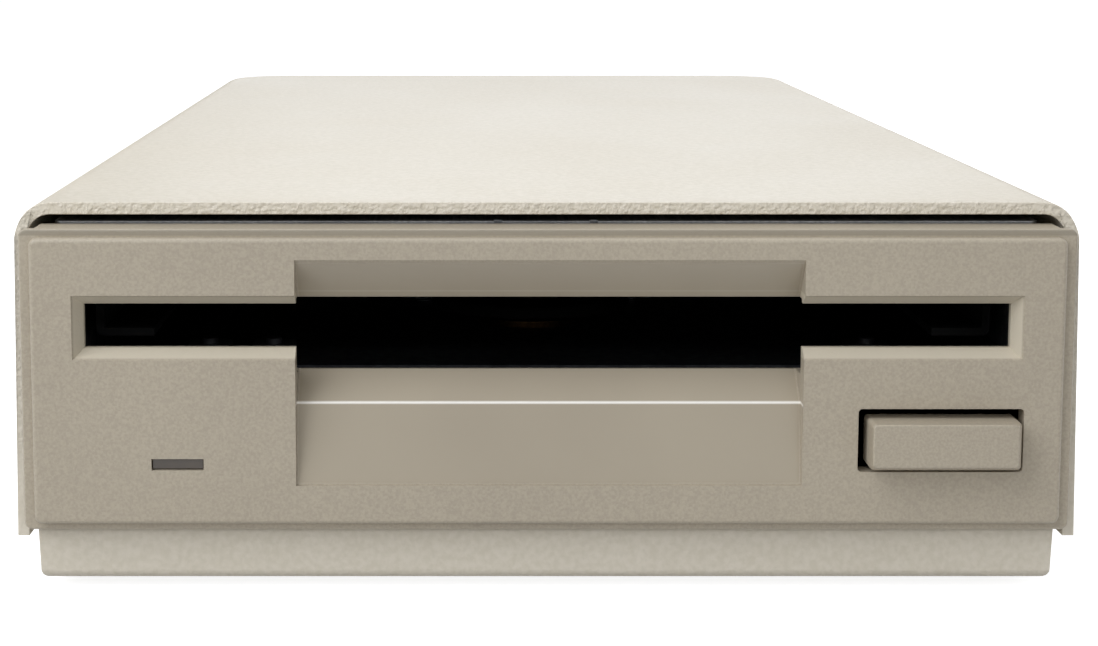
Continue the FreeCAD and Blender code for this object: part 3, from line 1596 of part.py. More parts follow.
def carriage_base(low):
    """Floor plate of the carriage, narrower at the front, with a window behind the head."""
    half = CARRIAGE_HALF_WIDTH
    nose = carriage_front() + CARRIAGE_NOSE
    plate = extrude_z(
        [
            (-half, nose, PLATE_CORNER),
            (-HEAD_SIZE, carriage_front(), PLATE_CORNER / 2),
            (HEAD_SIZE, carriage_front(), PLATE_CORNER / 2),
            (half, nose, PLATE_CORNER),
            (half, carriage_rear(), PLATE_CORNER),
            (-half, carriage_rear(), PLATE_CORNER),
        ],
        low,
        rod_z,
    )
    window_rear = head_y + ARM_REACH - HEAD_SIZE
    window = extrude_z(
        rectangle(-half / 2, half / 2, head_y + HEAD_SIZE, window_rear, PLATE_CORNER),
        low - OVERCUT,
        rod_z + OVERCUT,
    )
    return plate.cut(window)


def carriage_bushes():
    """Three bushes for the guide rods: two on the left rod and one on the right."""
    front = head_y + BUSH_SETBACK
    rear = head_y + CARRIAGE_BEHIND - BUSH_LENGTH - BUSH_TAIL
    return [
        long_rod(BUSH_RADIUS, side * ROD_X, rod_z, y, y + BUSH_LENGTH)
        for side, y in ((-1, front), (1, front), (-1, rear))
    ]


def carriage_needle(low, arm_low, arm_high):
    """Arm that reaches over the lead screw, and the needle that rides in its thread."""
    half = CARRIAGE_HALF_WIDTH
    front = needle_y() - NEEDLE_ARM_HALF
    rear = needle_y() + NEEDLE_ARM_HALF
    screw_top = rod_z + LEAD_SCREW_RADIUS + 2 * RUNNING_CLEARANCE
    return [
        block(0, SCREW_X + 2 * NEEDLE_RADIUS, front, rear, arm_low, arm_high),
        block(half / 2, half, front, rear, low, arm_high),
        upright_rod(NEEDLE_RADIUS, SCREW_X, needle_y(), screw_top, arm_high),
    ]


def carriage_flag(low, arm_low):
    """Flag that enters the track-zero sensor, with its post on the base."""
    half = CARRIAGE_HALF_WIDTH
    front = head_y + FLAG_BEHIND
    rear = front + FLAG_LENGTH
    high = arm_low + FLAG_SHEET
    return [
        block(-SENSOR_X + SENSOR_WIDTH / 4, 0, front, rear, arm_low, high),
        block(-half, -half / 2, front, rear, low, high),
    ]


def carriage_ears(low):
    """Two ears that hold the head arm's pin."""
    pin_y, pin_z = arm_pin_place()
    inside = ARM_WIDTH / 2 + CASE_GAP
    corners = [
        (pin_y - EAR_FOOT_HALF, low, 0),
        (pin_y + EAR_FOOT_HALF, low, 0),
        (pin_y + EAR_RADIUS, pin_z + EAR_RADIUS, EAR_CORNER),
        (pin_y - EAR_RADIUS, pin_z + EAR_RADIUS, EAR_CORNER),
    ]
    return [
        extrude_x(corners, side * inside, side * (inside + EAR_WIDTH)) for side in (-1, 1)
    ]


def make_carriage():
    """Head carriage at its outermost track: base, head post, bushes, needle arm, flag and ears."""
    low = rod_z - CARRIAGE_FLOOR + 2 * CASE_GAP
    arm_low = rod_z + BUSH_RADIUS
    arm_high = arm_low + NEEDLE_ARM_SHEET
    post_half = HEAD_SIZE / 2 + HEAD_MARGIN
    post_top = media_z() - HEAD_GAP / 2 - HEAD_PAD_HEIGHT
    post = block(-post_half, post_half, head_y - post_half, head_y + post_half, low, post_top)
    pieces = [carriage_base(low), post]
    pieces += carriage_bushes()
    pieces += carriage_needle(low, arm_low, arm_high)
    pieces += carriage_flag(low, arm_low)
    pieces += carriage_ears(low)
    pin_y, pin_z = arm_pin_place()
    room_half = ARM_WIDTH / 2 + CASE_GAP
    arm_room = block(
        -room_half,
        room_half,
        needle_y() - NEEDLE_ROOM_HALF,
        needle_y() + NEEDLE_ROOM_HALF,
        rod_z,
        arm_high + OVERCUT,
    )
    pin_bore = cross_rod(
        ARM_PIN_RADIUS + RUNNING_CLEARANCE / 2, pin_y, pin_z, -ARM_WIDTH, ARM_WIDTH
    )
    rod_bores = [
        long_rod(
            ROD_RADIUS + RUNNING_CLEARANCE,
            side * ROD_X,
            rod_z,
            carriage_front() - OVERCUT,
            carriage_rear() + OVERCUT,
        )
        for side in (-1, 1)
    ]
    return joined(pieces).cut([arm_room, pin_bore] + rod_bores)


def make_lower_head():
    half = HEAD_SIZE / 2
    top = media_z() - HEAD_GAP / 2
    pad = block(-half, half, head_y - half, head_y + half, top - HEAD_PAD_HEIGHT, top)
    return pad.makeFillet(HEAD_EDGE, edges_where(pad, lambda e: e.BoundBox.ZMin > top - FIT))


def raised(shape):
    """Turn a shape of the head arm from its lowered place to its rest, raised by ARM_SWING."""
    pin_y, pin_z = arm_pin_place()
    turned = shape.copy()
    turned.rotate(FreeCAD.Vector(0, pin_y, pin_z), FreeCAD.Vector(1, 0, 0), -ARM_SWING)
    return turned


def make_arm():
    """Upper head arm: tapered beam with a stiffening recess and a hub on the arm pin."""
    pin_y, pin_z = arm_pin_place()
    low = media_z() + HEAD_GAP / 2 + HEAD_PAD_HEIGHT
    high = low + ARM_THICKNESS
    half = ARM_WIDTH / 2
    tip_y = head_y - HEAD_SIZE / 2 - HEAD_MARGIN
    bend_y = pin_y - 2 * HEAD_SIZE
    beam = extrude_x(
        [
            (tip_y, low, ARM_TIP_EDGE),
            (pin_y, low, 0),
            (pin_y, pin_z + 2 * ARM_PIN_RADIUS, 0),
            (bend_y, high, ARM_BEND),
            (tip_y, high, ARM_TIP_EDGE),
        ],
        -half,
        half,
    )
    recess = extrude_z(
        rectangle(-half + ARM_RIM, half - ARM_RIM, head_y + HEAD_SIZE / 2, bend_y, PLATE_CORNER / 2),
        low + ARM_THICKNESS / 2,
        high + OVERCUT,
    )
    hub = cross_rod(2 * ARM_PIN_RADIUS, pin_y, pin_z, -half, half)
    hole = cross_rod(
        ARM_PIN_RADIUS + RUNNING_CLEARANCE, pin_y, pin_z, -half - OVERCUT, half + OVERCUT
    )
    return raised(joined([beam.cut(recess), hub]).cut(hole))


def make_upper_head():
    half = HEAD_SIZE / 2
    low = media_z() + HEAD_GAP / 2
    pad = block(-half, half, head_y - half, head_y + half, low, low + HEAD_PAD_HEIGHT)
    pad = pad.makeFillet(HEAD_EDGE, edges_where(pad, lambda e: e.BoundBox.ZMax < low + FIT))
    return raised(pad)


def make_arm_pin():
    pin_y, pin_z = arm_pin_place()
    reach = ARM_WIDTH / 2 + CASE_GAP + EAR_WIDTH
    return cross_rod(ARM_PIN_RADIUS, pin_y, pin_z, -reach, reach)


def make_guide_rods():
    front = opening_front - ROD_OVERHANG
    rear = opening_rear + ROD_OVERHANG
    return [long_rod(ROD_RADIUS, side * ROD_X, rod_z, front, rear) for side in (-1, 1)]


def make_lead_screw():
    """Lead screw from its front bearing into the stepper, with a collar behind the bearing."""
    front = end_bearing_front()
    screw = long_rod(LEAD_SCREW_RADIUS, SCREW_X, rod_z, front, stepper_front + STEPPER_BORE_DEPTH)
    collar_y = front + END_BEARING_LENGTH + CASE_GAP
    collar = long_rod(COLLAR_RADIUS, SCREW_X, rod_z, collar_y, collar_y + LEAD_SCREW_RADIUS)
    return joined([screw, collar])


def make_screw_bearing():
    start = end_bearing_front()
    end = start + END_BEARING_LENGTH
    outer = long_rod(END_BEARING_RADIUS - RUNNING_CLEARANCE / 2, SCREW_X, rod_z, start, end)
    bore = long_rod(
        LEAD_SCREW_RADIUS + RUNNING_CLEARANCE, SCREW_X, rod_z, start - OVERCUT, end + OVERCUT
    )
    return outer.cut(bore)


def make_stepper():
    """Stepper motor can with rounded ends, a blind bore for the screw and a lead block."""
    body = long_rod(STEPPER_RADIUS, SCREW_X, rod_z, stepper_front, stepper_front + STEPPER_LENGTH)
    rims = edges_where(body, lambda e: len(e.Vertexes) == 1)
    body = body.makeFillet(STEPPER_EDGE, rims)
    lead_block = block(
        SCREW_X - STEPPER_RADIUS / 2,
        SCREW_X + STEPPER_RADIUS / 2,
        stepper_front + STEPPER_LENGTH / 4,
        stepper_front + STEPPER_LENGTH * 3 / 4,
        rod_z - STEPPER_RADIUS - LEAD_BLOCK_DROP,
        rod_z - STEPPER_RADIUS / 2,
    )
    bore = long_rod(
        LEAD_SCREW_RADIUS + RUNNING_CLEARANCE,
        SCREW_X,
        rod_z,
        stepper_front - OVERCUT,
        stepper_front + STEPPER_BORE_DEPTH + CASE_GAP,
    )
    return joined([body, lead_block]).cut(bore)


def make_bracket():
    """Stepper bracket: bent plate with a foot on the deck and a pierced face for the motor."""
    left = SCREW_X - STEPPER_RADIUS
    edge = opening_right() - CASE_GAP
    foot_edge = edge + BRACKET_FOOT
    low = rod_z - STEPPER_RADIUS
    high = rod_z + STEPPER_RADIUS
    front = stepper_front - STEPPER_BRACKET
    face = extrude_y(
        [
            (left, low, PLATE_CORNER),
            (edge, low, PLATE_CORNER),
            (edge, deck_top, 0),
            (foot_edge, deck_top, 0),
            (foot_edge, deck_top + BRACKET_FOOT / 2, PLATE_CORNER / 2),
            (edge, high, PLATE_CORNER),
            (left, high, PLATE_CORNER),
        ],
        front,
        stepper_front,
    )
    foot = block(
        edge + 2 * CASE_GAP,
        foot_edge,
        stepper_front - BRACKET_FOOT,
        stepper_front,
        deck_top,
        deck_top + STEPPER_BRACKET,
    )
    hole = long_rod(
        LEAD_SCREW_RADIUS + 2 * CASE_GAP,
        SCREW_X,
        rod_z,
        front - OVERCUT,
        stepper_front + OVERCUT,
    )
    return joined([face, foot]).cut(hole)


def make_zero_sensor():
    """U-shaped optical sensor on the deck, whose jaws the carriage's flag leaves."""
    flag_mid = rod_z + BUSH_RADIUS + FLAG_SHEET / 2
    front = head_y + FLAG_BEHIND - SENSOR_JAW
    rear = head_y + FLAG_BEHIND + FLAG_LENGTH + SENSOR_JAW
    gap = FLAG_SHEET / 2 + CASE_GAP
    left = -SENSOR_X - SENSOR_WIDTH / 2
    right = -SENSOR_X + SENSOR_WIDTH / 2
    body = block(left, right, front, rear, deck_top, flag_mid + gap + 2 * FLAG_SHEET)
    room = block(
        -SENSOR_X - SENSOR_WIDTH / 4,
        right + OVERCUT,
        front - OVERCUT,
        rear + OVERCUT,
        flag_mid - gap,
        flag_mid + gap,
    )
    return body.cut(room)


def make_switches():
    """Disk-sensing switches on the deck, each with a short plunger."""
    half = SWITCH_WIDTH / 2
    y = slide_front + DECK_SETBACK + half + CASE_GAP
    top = deck_top + SWITCH_HEIGHT
    switches = []
    for x in SWITCH_PLACES:
        body = block(x - half, x + half, y - half, y + half, deck_top, top)
        plunger = upright_rod(SWITCH_PLUNGER_RADIUS, x, y, deck_top, top + 2 * CASE_GAP)
        switches.append(joined([body, plunger]))
    return switches


def make_logic_board():
    half = chassis_inner - LOGIC_BOARD_INSET
    front = face_y + LOGIC_BOARD_FRONT
    outline_corners = rectangle(-half, half, front, chassis_rear, PLATE_CORNER)
    board = extrude_z(outline_corners, board_bottom, board_top)
    hole_radius = BOARD_SCREW_RADIUS + SCREW_HOLE_CLEARANCE
    holes = [
        upright_rod(hole_radius, x, y, board_bottom - OVERCUT, board_top + OVERCUT)
        for x, y in post_places()
    ]
    return board.cut(holes)


def make_board_screw(x, y, z, direction, length):
    """Small pan-head screw whose head sits on the board face at z and points away from it."""
    seat = FreeCAD.Vector(x, y, z)
    away = FreeCAD.Vector(0, 0, -direction)
    inward = FreeCAD.Vector(0, 0, direction)
    head = Part.makeCylinder(BOARD_HEAD_RADIUS, BOARD_HEAD_HEIGHT, seat, away)
    shank = Part.makeCylinder(BOARD_SCREW_RADIUS, length, seat, inward)
    return joined([head, shank])


def make_chips(places, z, width, length):
    """Chip packages on a board, each with rounded corners."""
    return [
        extrude_z(rectangle(x, x + width, y, y + length, CHIP_CORNER), z, z + CHIP_HEIGHT)
        for x, y in places
    ]


def make_board_screws():
    """Screws that hold the logic board to the deck's posts and the interface board to its standoffs."""
    post_screw = BOARD_THICKNESS + BOARD_SCREW_LENGTH - BOARD_SCREW_ROOM
    standoff_screw = BOARD_THICKNESS + STANDOFF_HEIGHT / 2
    top = interface_top()
    return [make_board_screw(x, y, board_bottom, 1, post_screw) for x, y in post_places()] + [
        make_board_screw(x, y, top, -1, standoff_screw) for x, y in interface_corners()
    ]


def make_logic_chips():
    y = chassis_rear - HEADER_DEPTH - CHIP_LENGTH - CHIP_ROOM
    return make_chips([(x, y) for x in LOGIC_CHIP_X], board_top, CHIP_WIDTH, CHIP_LENGTH)


def make_interface_chips():
    y = lead_header_y() + SOCKET_DEPTH
    places = [(x, y) for x in INTERFACE_CHIP_X]
    return make_chips(places, interface_top(), CHIP_LENGTH, CHIP_WIDTH)


def make_header(x, width):
    """Box header on the rear edge of the logic board, hollow towards the back."""
    front = chassis_rear - HEADER_DEPTH
    top = board_top + HEADER_HEIGHT
    half = width / 2
    box = block(x - half, x + half, front, chassis_rear, board_top, top)
    room = block(
        x - half + HEADER_WALL,
        x + half - HEADER_WALL,
        front + HEADER_DEPTH / 2,
        chassis_rear + OVERCUT,
        board_top + HEADER_WALL,
        top - HEADER_WALL,
    )
    return box.cut(room)


def header_mid_z():
    return board_top + HEADER_HEIGHT / 2


def make_plug(x, width):
    """Socket pushed into a drive header, standing out of it at the back."""
    room = HEADER_WALL + CASE_GAP
    return block(
        x - width / 2 + room,
        x + width / 2 - room,
        chassis_rear - HEADER_DEPTH / 2 + CASE_GAP,
        chassis_rear + SOCKET_DEPTH,
        board_top + room,
        board_top + HEADER_HEIGHT - room,
    )


def interface_top():
    return tray_floor + STANDOFF_HEIGHT + BOARD_THICKNESS


def lead_header_y():
    return interface_front + SOCKET_DEPTH


def make_upright_headers():
    """Upright headers on the interface board that the two flat leads come down into."""
    front = lead_header_y() - SOCKET_DEPTH / 2
    rear = lead_header_y() + SOCKET_DEPTH / 2
    low = interface_top()
    high = low + HEADER_HEIGHT
    return [
        block(x - width / 2, x + width / 2, front, rear, low, high)
        for x, width in ((HEADER_X, HEADER_WIDTH), (POWER_X, (POWER_WIDTH + LEAD_WIDTH) / 2))
    ]


def make_flat_lead(x, width, thickness):
    """Flat lead from a plug on the drive, up and over to an upright header, in one bent strip."""
    start = chassis_rear + SOCKET_DEPTH
    rise = interface_top() + HEADER_HEIGHT + 2 * RIBBON_BEND
    turn = (start + lead_header_y()) / 2
    half = thickness / 2
    low_y = header_mid_z()
    end_z = interface_top() + HEADER_HEIGHT
    far_y = lead_header_y()
    if far_y - turn < 2 * RIBBON_BEND:
        turn = far_y - 2 * RIBBON_BEND
    corners = [
        (start, low_y + half, 0),
        (start, low_y - half, 0),
        (turn + half, low_y - half, RIBBON_BEND),
        (turn + half, rise - half, RIBBON_BEND - thickness),
        (far_y - half, rise - half, RIBBON_BEND - thickness),
        (far_y - half, end_z, 0),
        (far_y + half, end_z, 0),
        (far_y + half, rise + half, RIBBON_BEND),
        (turn - half, rise + half, RIBBON_BEND),
        (turn - half, low_y + half, RIBBON_BEND - thickness),
    ]
    return extrude_x(corners, x - width / 2, x + width / 2)


def make_shield():
    """Thin steel lid on the side frames, with two small notches in its front edge."""
    front = ledge_rear + CASE_GAP
    corners = rectangle(-chassis_outer, chassis_outer, front, chassis_rear, BEZEL_CORNER)
    lid = extrude_z(corners, chassis_top, shield_top)
    half = SHIELD_NOTCH / 2
    low = chassis_top - OVERCUT
    high = shield_top + OVERCUT
    notches = [
        block(x - half, x + half, front - OVERCUT, front + SHIELD_NOTCH, low, high)
        for x in (-SHIELD_NOTCH_X, SHIELD_NOTCH_X)
    ]
    return lid.cut(notches)


def interface_corners():
    """Places of the interface board's standoffs and screws."""
    inset = STANDOFF_RADIUS + STANDOFF_MARGIN
    half = INTERFACE_BOARD_WIDTH / 2 - inset
    front = lead_header_y() + SOCKET_DEPTH + inset
    rear = panel_front - CASE_GAP - PANEL_FOOT - inset
    return [(side * half, y) for side in (-1, 1) for y in (front, rear)]


def make_interface_board():
    half = INTERFACE_BOARD_WIDTH / 2
    top = interface_top()
    bottom = top - BOARD_THICKNESS
    rear = panel_front - CASE_GAP
    board = extrude_z(rectangle(-half, half, interface_front, rear, PLATE_CORNER), bottom, top)
    hole_radius = BOARD_SCREW_RADIUS + SCREW_HOLE_CLEARANCE
    holes = [
        upright_rod(hole_radius, x, y, bottom - OVERCUT, top + OVERCUT)
        for x, y in interface_corners()
    ]
    return board.cut(holes)


def make_standoffs():
    """Hexagonal standoffs between the tray and the interface board."""
    standoffs = []
    top = tray_floor + STANDOFF_HEIGHT
    for x, y in interface_corners():
        post = extrude_z(hexagon(STANDOFF_RADIUS, x, y), tray_floor, top)
        bore = upright_rod(
            BOARD_SCREW_RADIUS + RUNNING_CLEARANCE, x, y, tray_floor + OVERCUT, top + OVERCUT
        )
        standoffs.append(post.cut(bore))
    return standoffs


def make_connector_shell():
    """Pressed flange inside the panel with a D-shaped collar that stands out at the back."""
    z = connector_z()
    half = jack_pitch / 2 + CONNECTOR_EAR
    front = panel_front - CONNECTOR_FLANGE
    tip = cover_rear + CONNECTOR_PROUD
    flange = extrude_y(
        rectangle(
            CONNECTOR_X - half,
            CONNECTOR_X + half,
            z - CONNECTOR_FLANGE_HEIGHT / 2 + CASE_GAP,
            z + CONNECTOR_FLANGE_HEIGHT / 2,
            MOULDED_RIB,
        ),
        front,
        panel_front,
    )
    collar = extrude_y(connector_outline(0), front, tip)
    room = extrude_y(connector_outline(-CONNECTOR_SHELL), front - OVERCUT, tip + OVERCUT)
    hole_radius = JACK_STEM_RADIUS + RUNNING_CLEARANCE
    holes = [
        long_rod(hole_radius, x, jack_z, front - OVERCUT, panel_front + OVERCUT)
        for x, jack_z in jack_places()
    ]
    return joined([flange, collar]).cut([room] + holes)


def make_connector_core():
    """Insulating block on the interface board with a face of socket holes inside the collar."""
    z = connector_z()
    body_rear = panel_front - CONNECTOR_FLANGE
    body = block(
        CONNECTOR_X - CONNECTOR_WIDTH / 2,
        CONNECTOR_X + CONNECTOR_WIDTH / 2,
        body_rear - CONNECTOR_BODY_DEPTH,
        body_rear,
        interface_top(),
        z + CONNECTOR_FLANGE_HEIGHT / 2 - CONNECTOR_BODY_DROP,
    )
    face_end = cover_rear + CONNECTOR_PROUD - CONNECTOR_SHELL
    face_corners = connector_outline(-CONNECTOR_SHELL - RUNNING_CLEARANCE)
    face = extrude_y(face_corners, body_rear, face_end)
    hole_end = face_end - CONNECTOR_PROUD
    holes = []
    for row, count in ((1, SOCKET_COUNT), (-1, SOCKET_COUNT - 1)):
        hole_z = z + row * SOCKET_RISE
        for i in range(count):
            x = CONNECTOR_X + (i - (count - 1) / 2) * SOCKET_PITCH
            holes.append(long_rod(SOCKET_RADIUS, x, hole_z, hole_end, face_end + OVERCUT))
    return joined([body, face]).cut(holes)


def hexagon(radius, u, v):
    """Six sharp corners round (u, v)."""
    turns = [math.tau * i / HEX_SIDES for i in range(HEX_SIDES)]
    return [(u + radius * math.cos(turn), v + radius * math.sin(turn), 0) for turn in turns]


def make_jack_screws():
    """Hexagonal jack screws that clamp the connector's flange to the rear panel."""
    screws = []
    flange_front = panel_front - CONNECTOR_FLANGE
    tip = panel_rear + JACK_PROUD
    for x, z in jack_places():
        post = extrude_y(hexagon(JACK_RADIUS, x, z), panel_rear, tip)
        stem = long_rod(JACK_STEM_RADIUS, x, z, flange_front, panel_rear + OVERCUT)
        bore = long_rod(JACK_BORE, x, z, panel_rear + OVERCUT, tip + OVERCUT)
        screws.append(joined([post, stem]).cut(bore))
    return screws


def build():
    os.makedirs("parts", exist_ok=True)
    save("top_cover", [make_cover()])
    save("base_tray", [make_tray()])
    save("rubber_feet", [make_foot(x, y) for x, y in foot_places()])
    save("cover_screws", make_cover_screws())
    save("rear_panel", [make_rear_panel()])
    save("cable_grommet", [make_grommet()])
    save("front_bezel", [make_bezel()])
    save("light_lens", [make_lens()])
    save("light_lamp", [make_lamp()])
    save("drive_chassis", [make_chassis()])
    save("side_frames", [make_side_frame(side) for side in (-1, 1)])
    save("top_tie", [make_top_tie()])
    save("chassis_screws", make_chassis_screws())
    save("shield_lid", [make_shield()])
    save("slide_plate", [make_slide()])
    save("eject_button", [make_button()])
    save("slide_springs", [make_slide_spring(side) for side in (-1, 1)])
    save("disk_holder", [make_holder()])
    save("holder_pins", make_holder_pins())
    save("shutter_lever", [make_lever()])
    save("lever_stud", [make_lever_stud()])
    save("spindle_hub", [make_hub()])
    save("drive_pin", [make_drive_pin()])
    save("spindle_shaft", [make_shaft()])
    save("rotor_cup", [make_rotor()])
    save("ring_magnet", [make_magnet()])
    save("spindle_bearing", [make_bearing()])
    save("motor_board", [make_motor_board()])
    save("stator_core", [make_stator_core()])
    save("stator_coils", make_coils())
    save("head_carriage", [make_carriage()])
    save("lower_head", [make_lower_head()])
    save("head_arm", [make_arm()])
    save("upper_head", [make_upper_head()])
    save("arm_pin", [make_arm_pin()])
    save("guide_rods", make_guide_rods())
    save("lead_screw", [make_lead_screw()])
    save("screw_bearing", [make_screw_bearing()])
    save("stepper_motor", [make_stepper()])
    save("stepper_bracket", [make_bracket()])
    save("zero_sensor", [make_zero_sensor()])
    save("disk_switches", make_switches())
    save("logic_board", [make_logic_board()])
    save("board_screws", make_board_screws())
    save("logic_chips", make_logic_chips())
    save("data_header", [make_header(HEADER_X, HEADER_WIDTH)])
    save("power_header", [make_header(POWER_X, POWER_WIDTH)])
    save("data_plug", [make_plug(HEADER_X, HEADER_WIDTH)])
    save("power_plug", [make_plug(POWER_X, POWER_WIDTH)])
    save("ribbon_cable", [make_flat_lead(HEADER_X, RIBBON_WIDTH, RIBBON_THICKNESS)])
    save("power_lead", [make_flat_lead(POWER_X, LEAD_WIDTH, LEAD_THICKNESS)])
    save("interface_board", [make_interface_board()])
    save("board_standoffs", make_standoffs())
    save("interface_headers", make_upright_headers())
    save("interface_chips", make_interface_chips())
    save("connector_shell", [make_connector_shell()])
    save("connector_core", [make_connector_core()])
    save("jack_screws", make_jack_screws())


build()
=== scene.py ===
import math

import bmesh
import bpy
from mathutils import Matrix, Vector


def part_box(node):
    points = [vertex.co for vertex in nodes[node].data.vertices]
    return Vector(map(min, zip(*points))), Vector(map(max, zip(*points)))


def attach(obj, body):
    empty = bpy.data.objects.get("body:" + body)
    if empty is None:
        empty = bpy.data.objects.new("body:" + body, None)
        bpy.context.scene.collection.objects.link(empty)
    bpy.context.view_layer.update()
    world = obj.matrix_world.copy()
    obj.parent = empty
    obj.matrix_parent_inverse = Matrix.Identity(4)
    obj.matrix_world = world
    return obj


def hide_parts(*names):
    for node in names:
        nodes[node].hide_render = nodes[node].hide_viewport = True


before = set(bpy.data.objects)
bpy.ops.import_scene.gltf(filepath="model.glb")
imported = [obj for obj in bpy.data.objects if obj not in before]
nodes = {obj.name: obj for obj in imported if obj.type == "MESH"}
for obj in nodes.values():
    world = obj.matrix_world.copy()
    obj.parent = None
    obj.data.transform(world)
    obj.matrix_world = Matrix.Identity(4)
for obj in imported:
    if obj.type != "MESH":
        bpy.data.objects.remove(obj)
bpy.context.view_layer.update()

scene = bpy.context.scene
mm = 0.001

# The view is from just above the bezel, a forearm's length in front of it and a little to its
# left. The lens is shifted a little, as on a view camera, so that uprights stay nearly upright.
scene.view_settings.view_transform = "Standard"
photo_width, photo_height = 1098, 646
lens_in_pixels = 2130.7
straight_ahead = (458.3, 197.9)
camera_data = bpy.data.cameras.new("product_view")
camera_data.sensor_width = 36
camera_data.lens = lens_in_pixels / photo_width * camera_data.sensor_width
camera_data.shift_x = (photo_width / 2 - straight_ahead[0]) / photo_width
camera_data.shift_y = (straight_ahead[1] - photo_height / 2) / photo_width
camera_data.clip_start = 10 * mm
camera = bpy.data.objects.new("product_view", camera_data)
camera.location = Vector((-8.77, -307.68, 65.26)) * mm
camera.rotation_euler = (math.radians(83), 0, 0)
scene.collection.objects.link(camera)
scene.camera = camera


# A studio table of matt white paper among softboxes. The key light stands high at the left front,
# so left and upper edges catch light and right and lower ones stay dull. The paper and the room
# behind look pure white, and only the drive's own soft shadow shows on the paper.
def linear(colour):
    """The linear values of an sRGB hex colour."""
    values = []
    for i in (0, 2, 4):
        level = int(colour[i:i + 2], 16) / 255
        values.append(level / 12.92 if level <= 0.04045 else ((level + 0.055) / 1.055) ** 2.4)
    return (*values, 1)


def add(tree, kind, settings=(), **links):
    """One node with its settings. Each link names an input, or gives its number as i0 or i1, and
    is a socket, a plain value, or a node that stands for its first output."""
    made = tree.nodes.new(kind)
    for name, value in dict(settings).items():
        setattr(made, name, value)
    for name, value in links.items():
        number = name[1:]
        socket = made.inputs[int(number) if number.isdigit() else name.replace("_", " ")]
        if isinstance(value, bpy.types.Node):
            value = value.outputs[0]
        if isinstance(value, bpy.types.NodeSocket):
            tree.links.new(value, socket)
        else:
            socket.default_value = value
    return made


def bare(name):
    """A material with an empty node tree."""
    material = bpy.data.materials.new(name)
    material.use_nodes = True
    material.node_tree.nodes.clear()
    return material


for name, place, aim, size, watts in (
    ("key_softbox", (-330, -330, 380), (0, -60, 20), (420, 420), 2.3),
    ("overhead_softbox", (0, -60, 500), (0, -20, 20), (480, 480), 0.8),
    ("front_strip", (60, -640, 230), (0, -100, 20), (560, 30), 0.55),
    ("right_softbox", (560, 60, 240), (0, 0, 20), (340, 340), 0.7),
    ("rear_softbox", (60, 600, 260), (0, 100, 20), (420, 260), 0.7),
):
    lamp_data = bpy.data.lights.new(name, "AREA")
    lamp_data.shape = "RECTANGLE"
    lamp_data.size = size[0] * mm
    lamp_data.size_y = size[1] * mm
    lamp_data.energy = watts
    lamp_data.color = linear("F4F8FF")[:3]
    lamp = bpy.data.objects.new(name, lamp_data)
    lamp.location = Vector(place) * mm
    lamp.rotation_euler = (Vector(aim) - Vector(place)).to_track_quat("-Z", "Y").to_euler()
    scene.collection.objects.link(lamp)

room = bpy.data.worlds.new("white_room")
room.use_nodes = True
scene.world = room
tree = room.node_tree
tree.nodes.clear()
path = add(tree, "ShaderNodeLightPath").outputs
clear = add(
    tree, "ShaderNodeMath", {"operation": "MAXIMUM"}, i0=path["Is Camera Ray"],
    i1=path["Is Transmission Ray"],
)
lighting = add(tree, "ShaderNodeBackground", Color=linear("FFFFFF"), Strength=0.36)
seen = add(tree, "ShaderNodeBackground", Color=linear("FFFFFF"), Strength=1.0)
both = add(tree, "ShaderNodeMixShader", i0=clear, i1=lighting, i2=seen)
add(tree, "ShaderNodeOutputWorld", Surface=both)

paper = bare("matt_white_paper")
tree = paper.node_tree
path = add(tree, "ShaderNodeLightPath").outputs
clear = add(
    tree, "ShaderNodeMath", {"operation": "MAXIMUM"}, i0=path["Is Camera Ray"],
    i1=path["Is Glossy Ray"],
)
matt = add(tree, "ShaderNodeBsdfDiffuse", Color=linear("BCBCBC"))
glow = add(tree, "ShaderNodeEmission", Color=linear("FFFFFF"), Strength=0.85)
lifted = add(tree, "ShaderNodeAddShader", i0=matt, i1=glow)
both = add(tree, "ShaderNodeMixShader", i0=clear, i1=matt, i2=lifted)
add(tree, "ShaderNodeOutputMaterial", Surface=both)
reach = 3000 * mm
table_mesh = bpy.data.meshes.new("paper_table")
table_corners = [(-reach, -reach, 0), (reach, -reach, 0), (reach, reach, 0), (-reach, reach, 0)]
table_mesh.from_pydata(table_corners, [], [range(4)])
table_mesh.materials.append(paper)
table = bpy.data.objects.new("paper_table", table_mesh)
scene.collection.objects.link(table)


# Top cover: one sheet of steel folded over the top, both sides and the rounded rear corners,
# with textured enamel baked on. The paint rounds over every cut edge, and at the front edge it
# draws up into small beads, so the edges are softened and the grain runs over them.
def inside(tree, place, low, high, fade_mm):
    """One within a box given in millimetres, and nought outside it, in the piece's coordinates."""
    parts = add(tree, "ShaderNodeSeparateXYZ", Vector=place)
    share = 1.0
    for part, start, end in zip(parts.outputs, low, high):
        middle = (start + end) / 2 * mm
        offset = add(tree, "ShaderNodeMath", {"operation": "SUBTRACT"}, i0=part, i1=middle)
        away = add(tree, "ShaderNodeMath", {"operation": "ABSOLUTE"}, i0=offset)
        half = (end - start) / 2
        within = add(
            tree, "ShaderNodeMapRange", i0=away, i1=(half - fade_mm) * mm, i2=half * mm, i3=1.0,
            i4=0.0,
        )
        share = add(
            tree, "ShaderNodeMath", {"operation": "MULTIPLY"}, i0=share, i1=within,
        ).outputs[0]
    return share


